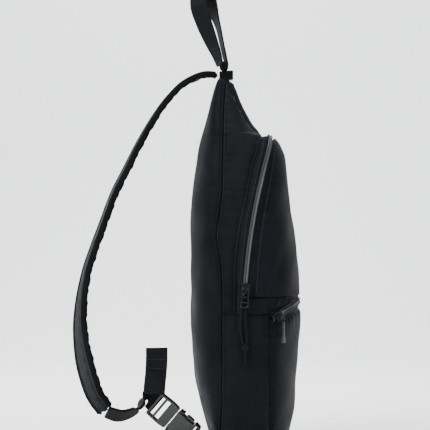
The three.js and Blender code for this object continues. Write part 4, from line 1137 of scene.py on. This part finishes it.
# %% Strap pad and its binding
STRAP_LINE = [[38, 438.6], [53.8, 439], [66.7, 434.5], [79.6, 427], [92.4, 414.5], [103, 401], [116.5, 380],
              [130, 355.7], [142.6, 330], [157.5, 299.5], [170.3, 264.4], [180.5, 236], [188, 212], [193.8,
                                                                                                     180],
              [195.4, 150], [192.5, 121], [186.5, 95], [177.5, 70], [165, 52]]
share = np.clip((np.linspace(0, 1, len(STRAP_LINE)) - 0.1) / 0.95, 0, 1)
strap_points = [[-55.1 * float(k * k * (3 - 2 * k)), y, z] for k, (y, z) in zip(share, STRAP_LINE)]
strap_path = curve(strap_points, 480)
t = np.linspace(0, 1, len(strap_path))
twist = through([[0, 0.04], [0.3, 0.1], [0.6, 0.14], [0.8, 0.3], [0.93, 0.5], [1, 0.7]])(t)[:, None]
tangent = unit(np.gradient(strap_path, axis=0))
square = unit(np.stack([0 * t, -tangent[:, 2], tangent[:, 1]], -1))
_, strap_across, strap_out = frames(strap_path, np.cos(twist) * [1, 0, 0] + np.sin(twist) * square)
strap_width = through([[0, 26], [0.05, 34], [0.14, 52], [0.84, 52], [0.95, 36], [1, 27]])(t)
gone = walked(strap_path, 0)
outline = rounded(1, 1, 44, 2.6)
a, o = outline[None, :, 0], outline[None, :, 1]
puff = 1 + 0.10 * np.sin(2 * math.pi * gone / 17 + 1.2 * np.sin(gone / 31))[:, None] * np.cos(math.pi * a)
quilt = 1 - 0.16 * np.exp(-((np.abs(a) - 0.33) / 0.035) ** 2)
pad_outline = np.stack([a * (strap_width[:, None] - 2.5), o * 7.0 * puff * quilt], -1)
ends = np.clip(np.minimum(t, 1 - t) / 0.006, 0.35, 1)[:, None, None]
pad = carry(strap_path, strap_across, strap_out, pad_outline * ends)
strap_pad = piece("strap_pad_cloth", surface(pad, closed=True, caps=True), "strap", nylon,
                  ["strap_outer", "strap_lining"])

# %% [markdown]
# The binding is a folded tape sewn over both raw edges. It is a flat tube here, and a few sine waves of
# different lengths give its lumps, so they never repeat in step.

# %% Strap binding
bindings, bound_rows = [], []
for side in (-1, 1):
    lump = (0.35 * np.sin(2 * math.pi * gone / 13 + side) + 0.3 * np.sin(2 * math.pi * gone / 29 + 2 * side)
            + 0.2 * np.sin(2 * math.pi * gone / 7.3))
    edge = strap_path + strap_across * (side * (strap_width / 2 - 1.6 + 0.3 * lump))[:, None]
    edge = edge + strap_out * (0.5 * lump)[:, None]
    size = np.stack([4.4 + 0.3 * lump, 7.6 + 0.9 * lump], -1)[:, None]
    bindings.append(surface(carry(edge, strap_across, strap_out, rounded(1, 1, 20, 2.3)[None] * size * ends),
                            closed=True, caps=True))
    for face in (-1, 1):
        row = strap_path + strap_across * (side * (strap_width / 2 - 5.0))[:, None] + strap_out * (face
                                                                                                   * 2.95)
        bound_rows.append(stitches(row[6:-6], (strap_out * face)[6:-6], pitch=3.6, length=2.6))
piece("strap_binding", bindings, "strap", binding_cloth)
piece("strap_stitches", bound_rows, "strap", thread)
print("strap", round(float(gone[-1])), "mm long")
print("binding", round(float(walked(edge, 0)[-1])), "mm a side")

# %% [markdown]
# ## Adjuster webbing, tail and buckle
# Below the pad the strap turns into webbing that runs through the buckle's ladder and comes back as a
# loose tail. The end of the tail is folded and sewn so that it can't slip out. The other half of the
# buckle is held by a short piece of webbing from the bag's lower corner. The buckle is a moulded side-
# release one: a flat frame with two springy prongs that click into a hollow body.

# %% Webbing at the buckle
LENGTH = 60.0
ANCHOR = np.array([-58.0, 41.0, 16.0])
buckle_along = unit(np.array([-0.06, -0.76, -0.645]))
buckle_out = np.array([-0.93, 0.32, -0.17])
buckle_out = unit(buckle_out - buckle_along * np.dot(buckle_out, buckle_along))
buckle_across = np.cross(buckle_along, buckle_out)


def in_buckle(points):
    """Points given as across, along and out of the buckle."""
    return np.array([-54.0, 88.0, 42.5]) + np.asarray(points, float) @ np.stack([buckle_across, buckle_along,
                                                                                 buckle_out])


half = LENGTH / 2
web_path = curve([strap_path[-1] + tangent[-1] * 1.5, [-52.5, 149, 46.5], [-52, 131, 53],
                  in_buckle([0, -half - 8.5, 0]), in_buckle([0, -half + 5, 0])], 90)
k = np.linspace(0, 1, 90)[:, None]
web, _, _ = ribbon(web_path, strap_across[-1] * (1 - k) + buckle_across * k, thick=3.6)
piece("strap_webbing_cloth", surface(web, closed=True, caps=True), "strap", webbing_cloth, ["strap_webbing"])
tail_way = np.array([0.18, 0.97, 0.1])
tail_path = curve([[-64.5, 110, 72], [-64, 109.5, 80], [-64.5, 108, 95], [-63.5, 107, 110],
                   [-61.5, 107, 124.5]], 120)
tail, tail_across, tail_out = ribbon(tail_path, tail_way)
hem_path = (tail_path + tail_out * 1.7)[62:]
hem, _, _ = ribbon(hem_path, tail_way, 24.6, 1.7)
tail_grids = [surface(grid, closed=True, caps=True) for grid in (tail, hem)]
piece("strap_tail_cloth", tail_grids, "strap", webbing_cloth, ["strap_tail"])
piece("strap_tail_stitches", box_stitch(tail_path + tail_out * 0.8, tail_across, tail_out, 66, 90, 10.5, 3.4),
      "strap", thread)
low_path = curve([in_buckle([0, half - 4, 0]), in_buckle([0, half + 4, 0]), ANCHOR + [0, 15, 0.8],
                  ANCHOR + [0, 8.5, 0], ANCHOR + [0, 3.5, 0]], 70)
k = np.linspace(0, 1, 70)[:, None] ** 0.8
low, _, _ = ribbon(low_path, buckle_across * (1 - k) + np.array([0.1, 0, 1]) * k)
piece("strap_lower_cloth", surface(low, closed=True, caps=True), "strap", webbing_cloth,
      ["strap_lower_webbing", "lower_tab"])
print("tail", round(float(walked(tail_path, 0)[-1])), "mm long")

# %% [markdown]
# The buckle is injection moulded, so every edge has a small radius and the walls are of even thickness.
# It is built flat in its own plane, from bars and plates with rounded edges, and then set where it hangs.

# %% Buckle halves and prongs


def moulded(outline, low, high, count=96, edge=0.9):
    """A flat moulding from an outline in the buckle's plane: rings of the evened outline, drawn in by a
    quarter circle at the top and bottom edges, and closed over."""
    flat = np.array(outline + outline[:1], float)
    flat = evenly(np.concatenate([flat, 0 * flat[:, :1]], 1), count + 1)[:-1, :2]
    centre = flat.mean(0)
    turn = np.linspace(0, math.pi / 2, 5)
    rings = []
    for inset, height in ([(6 * edge, low)] + [(edge * (1 - math.sin(a)), low + edge * (1 - math.cos(a)))
                                               for a in turn]
                          + [(edge * (1 - math.cos(a)), high - edge * (1 - math.sin(a))) for a in turn]
                          + [(6 * edge, high)]):
        away = flat - centre
        ring = flat - away / np.linalg.norm(away, axis=-1, keepdims=True) * min(inset, 6 * edge)
        rings.append(np.concatenate([ring, np.full((count, 1), height)], 1))
    return surface(in_buckle(np.array(rings)), closed=True, caps=True)


def rail(points, width, thick):
    """A moulded bar in the buckle's plane: a superellipse section along a path."""
    path = in_buckle(curve(points, 60))
    _, across, out = frames(path, np.cross(np.gradient(path, axis=0), buckle_out))
    return surface(carry(path, across, out, rounded(width, thick, 24, 3.5)), closed=True, caps=True)


male = [rail([[-14.6, -29, 0], [-15, -20, 0], [-15.2, -12, 0], [-14.4, -3.4, 0]], 3.2, 6),
        rail([[14.6, -29, 0], [15, -20, 0], [15.2, -12, 0], [14.4, -3.4, 0]], 3.2, 6),
        rail([[-14, -28, 0], [0, -28.2, 0], [14, -28, 0]], 3.6, 5.4),
        rail([[-14, -20.3, 0], [0, -20.3, 0], [14, -20.3, 0]], 3.2, 5.0),
        moulded([[-15, -14], [15, -14], [15.4, -10], [14.6, -2], [-14.6, -2], [-15.4, -10]], -3, 3)]
piece("buckle_male_moulding", male, "strap", acetal, ["buckle_male"])
PLATE = [[-12.6, -1.2], [12.6, -1.2], [12.8, 6], [12.2, 14], [12.6, 21.5], [-12.6, 21.5], [-12.2, 14],
         [-12.8, 6]]
shell = [moulded(PLATE, 2.9, 4.5, edge=0.6), moulded(PLATE, -4.5, -2.9, edge=0.6),
         rail([[-14.6, -0.6, 0], [-14.9, 2, 0], [-15.2, 5.6, 0]], 2.8, 8.8),
         rail([[14.6, -0.6, 0], [14.9, 2, 0], [15.2, 5.6, 0]], 2.8, 8.8),
         moulded([[-15.6, 21.6], [15.6, 21.6], [14.6, 24.6], [-14.6, 24.6]], -4.5, 4.5, edge=1.0),
         rail([[-14.2, 23, 0], [-13.4, 28.8, 0]], 2.8, 8.0), rail([[14.2, 23, 0], [13.4, 28.8, 0]], 2.8, 8.0),
         rail([[-13.4, 28.7, 0], [0, 28.9, 0], [13.4, 28.7, 0]], 2.6, 7.0)]
piece("buckle_female_moulding", shell, "strap", acetal, ["buckle_female"])
for name, side in (("upper", 1), ("lower", -1)):
    arm = rail([[side * 9, -1.4, 0], [side * 10.6, 5, 0], [side * 12.2, 9.5, 0]], 2.6, 4.2)
    head = moulded([[side * 11.9, 8.4], [side * 16.5, 9.2], [side * 16.5, 15], [side * 16, 19.2],
                    [side * 11.8, 19.4], [side * 10.6, 13]], -2.3, 2.3, edge=0.7)
    piece("prong_" + name + "_moulding", [arm, head], "buckle_prong_" + name, acetal, ["prong_" + name])
print("buckle", LENGTH, "mm long")

# %% [markdown]
# ## Inside the bag
# With the flap open the padded back and the wall behind the pocket show. The pad is foam covered in plain
# lining cloth, and the wall is the same cloth stretched from side to side, so both are soft slabs just
# inside the form.

# %% Lining
pad_face = between(lambda z: angle_at(back_seam(z) + 7, z), lambda z: 2 * math.pi - angle_at(back_seam(z)
                                                                                             + 7, z),
                   28.0, 400.0, 70, 60)
normal = outward(pad_face)
quilting = 0.5 * np.cos(pad_face[..., 0] / 9.0) ** 8 + 0.3 * np.sin(pad_face[..., 2] / 17.0)
piece("back_pad_lining", solid_sheet(pad_face - normal * 3.4, pad_face - normal
                                     * (5.6 - quilting[..., None])), "bag",
      back_cloth, ["back_foam"])
z = np.linspace(6.5, 149.0, 50)[:, None]
inner = skin(angle_at(-22.5, z), z)[..., :1] - 4.2
wall_face = np.concatenate([inner * np.linspace(-1, 1, 60)[None, :, None], np.full((50, 60, 1), -22.9),
                            z[..., None] + np.zeros((50, 60, 1))], -1)
wave = 0.35 * np.sin(wall_face[..., 0:1] / 21.0 + wall_face[..., 2:] / 33.0)
shift = np.array([0, 1.0, 0])
piece("pocket_wall_lining", solid_sheet(wall_face + shift * wave, wall_face + shift * (0.9 + wave)), "bag",
      back_cloth, ["pocket_back_wall"])
print("pad", round(float(walked(pad_face, 0)[-1].max())), "mm tall")

# %% [markdown]
# ## Floor, light and the finish
# The bag stands on a pale sweep that curves up behind it. A large soft light above and in front does most
# of the work, a second fills the shadow side, and a third from behind draws the edges of the dark cloth.

# %% Floor and lights
across = np.linspace(-3, 3, 60)[None, :, None]
turn = np.linspace(0, math.pi / 2, 40)[:, None, None]
SWEEP = 0.9
profile = np.concatenate([np.stack([np.linspace(-3, 1.3, 30), 0 * np.linspace(0, 1, 30)], -1),
                          np.stack([1.3 + SWEEP * np.sin(turn[1:, 0, 0]), SWEEP - SWEEP
                                    * np.cos(turn[1:, 0, 0])], -1), [[1.3 + SWEEP, 4.0]]])
sweep_grid = np.concatenate([profile[:, None, :1] + 0 * across, across + 0 * profile[:, None, :1],
                             profile[:, None, 1:] + 0 * across], -1) / MM
paper, tree, paper_surface = new_material("seamless_paper", 0.85)
paper_surface.inputs["Base Color"].default_value = linear("#f4f5f6")
floor = piece("floor", surface(sweep_grid, facing=(-0.5, 0, 1)), None, paper)


def area_light(name, place, aim, size, power):
    """A soft rectangular light at a place, turned towards an aim."""
    data = bpy.data.lights.new(name, "AREA")
    data.shape = "RECTANGLE"
    data.size, data.size_y = size
    data.energy = power
    light = bpy.data.objects.new(name, data)
    light.location = place
    light.rotation_euler = (Vector(aim) - Vector(place)).to_track_quat("-Z", "Y").to_euler()
    bpy.context.scene.collection.objects.link(light)
    return light


area_light("key", (-1.2, 1.1, 1.6), (0, 0.02, 0.25), (1.0, 0.8), 62)
area_light("fill", (-1.5, -1.2, 0.9), (0, 0, 0.2), (1.4, 1.2), 12)
area_light("rim", (0.9, 0.5, 1.4), (0, 0, 0.3), (1.0, 0.6), 20)
area_light("wall", (0.2, 0.0, 1.6), (2.2, 0.1, 0.7), (1.0, 0.8), 60)
world = bpy.data.worlds.new("room")
world.use_nodes = True
bpy.context.scene.world = world
world.node_tree.nodes["Background"].inputs[0].default_value = linear("#e4e7ea")
world.node_tree.nodes["Background"].inputs[1].default_value = 0.9
print("lights:", len(bpy.data.lights))
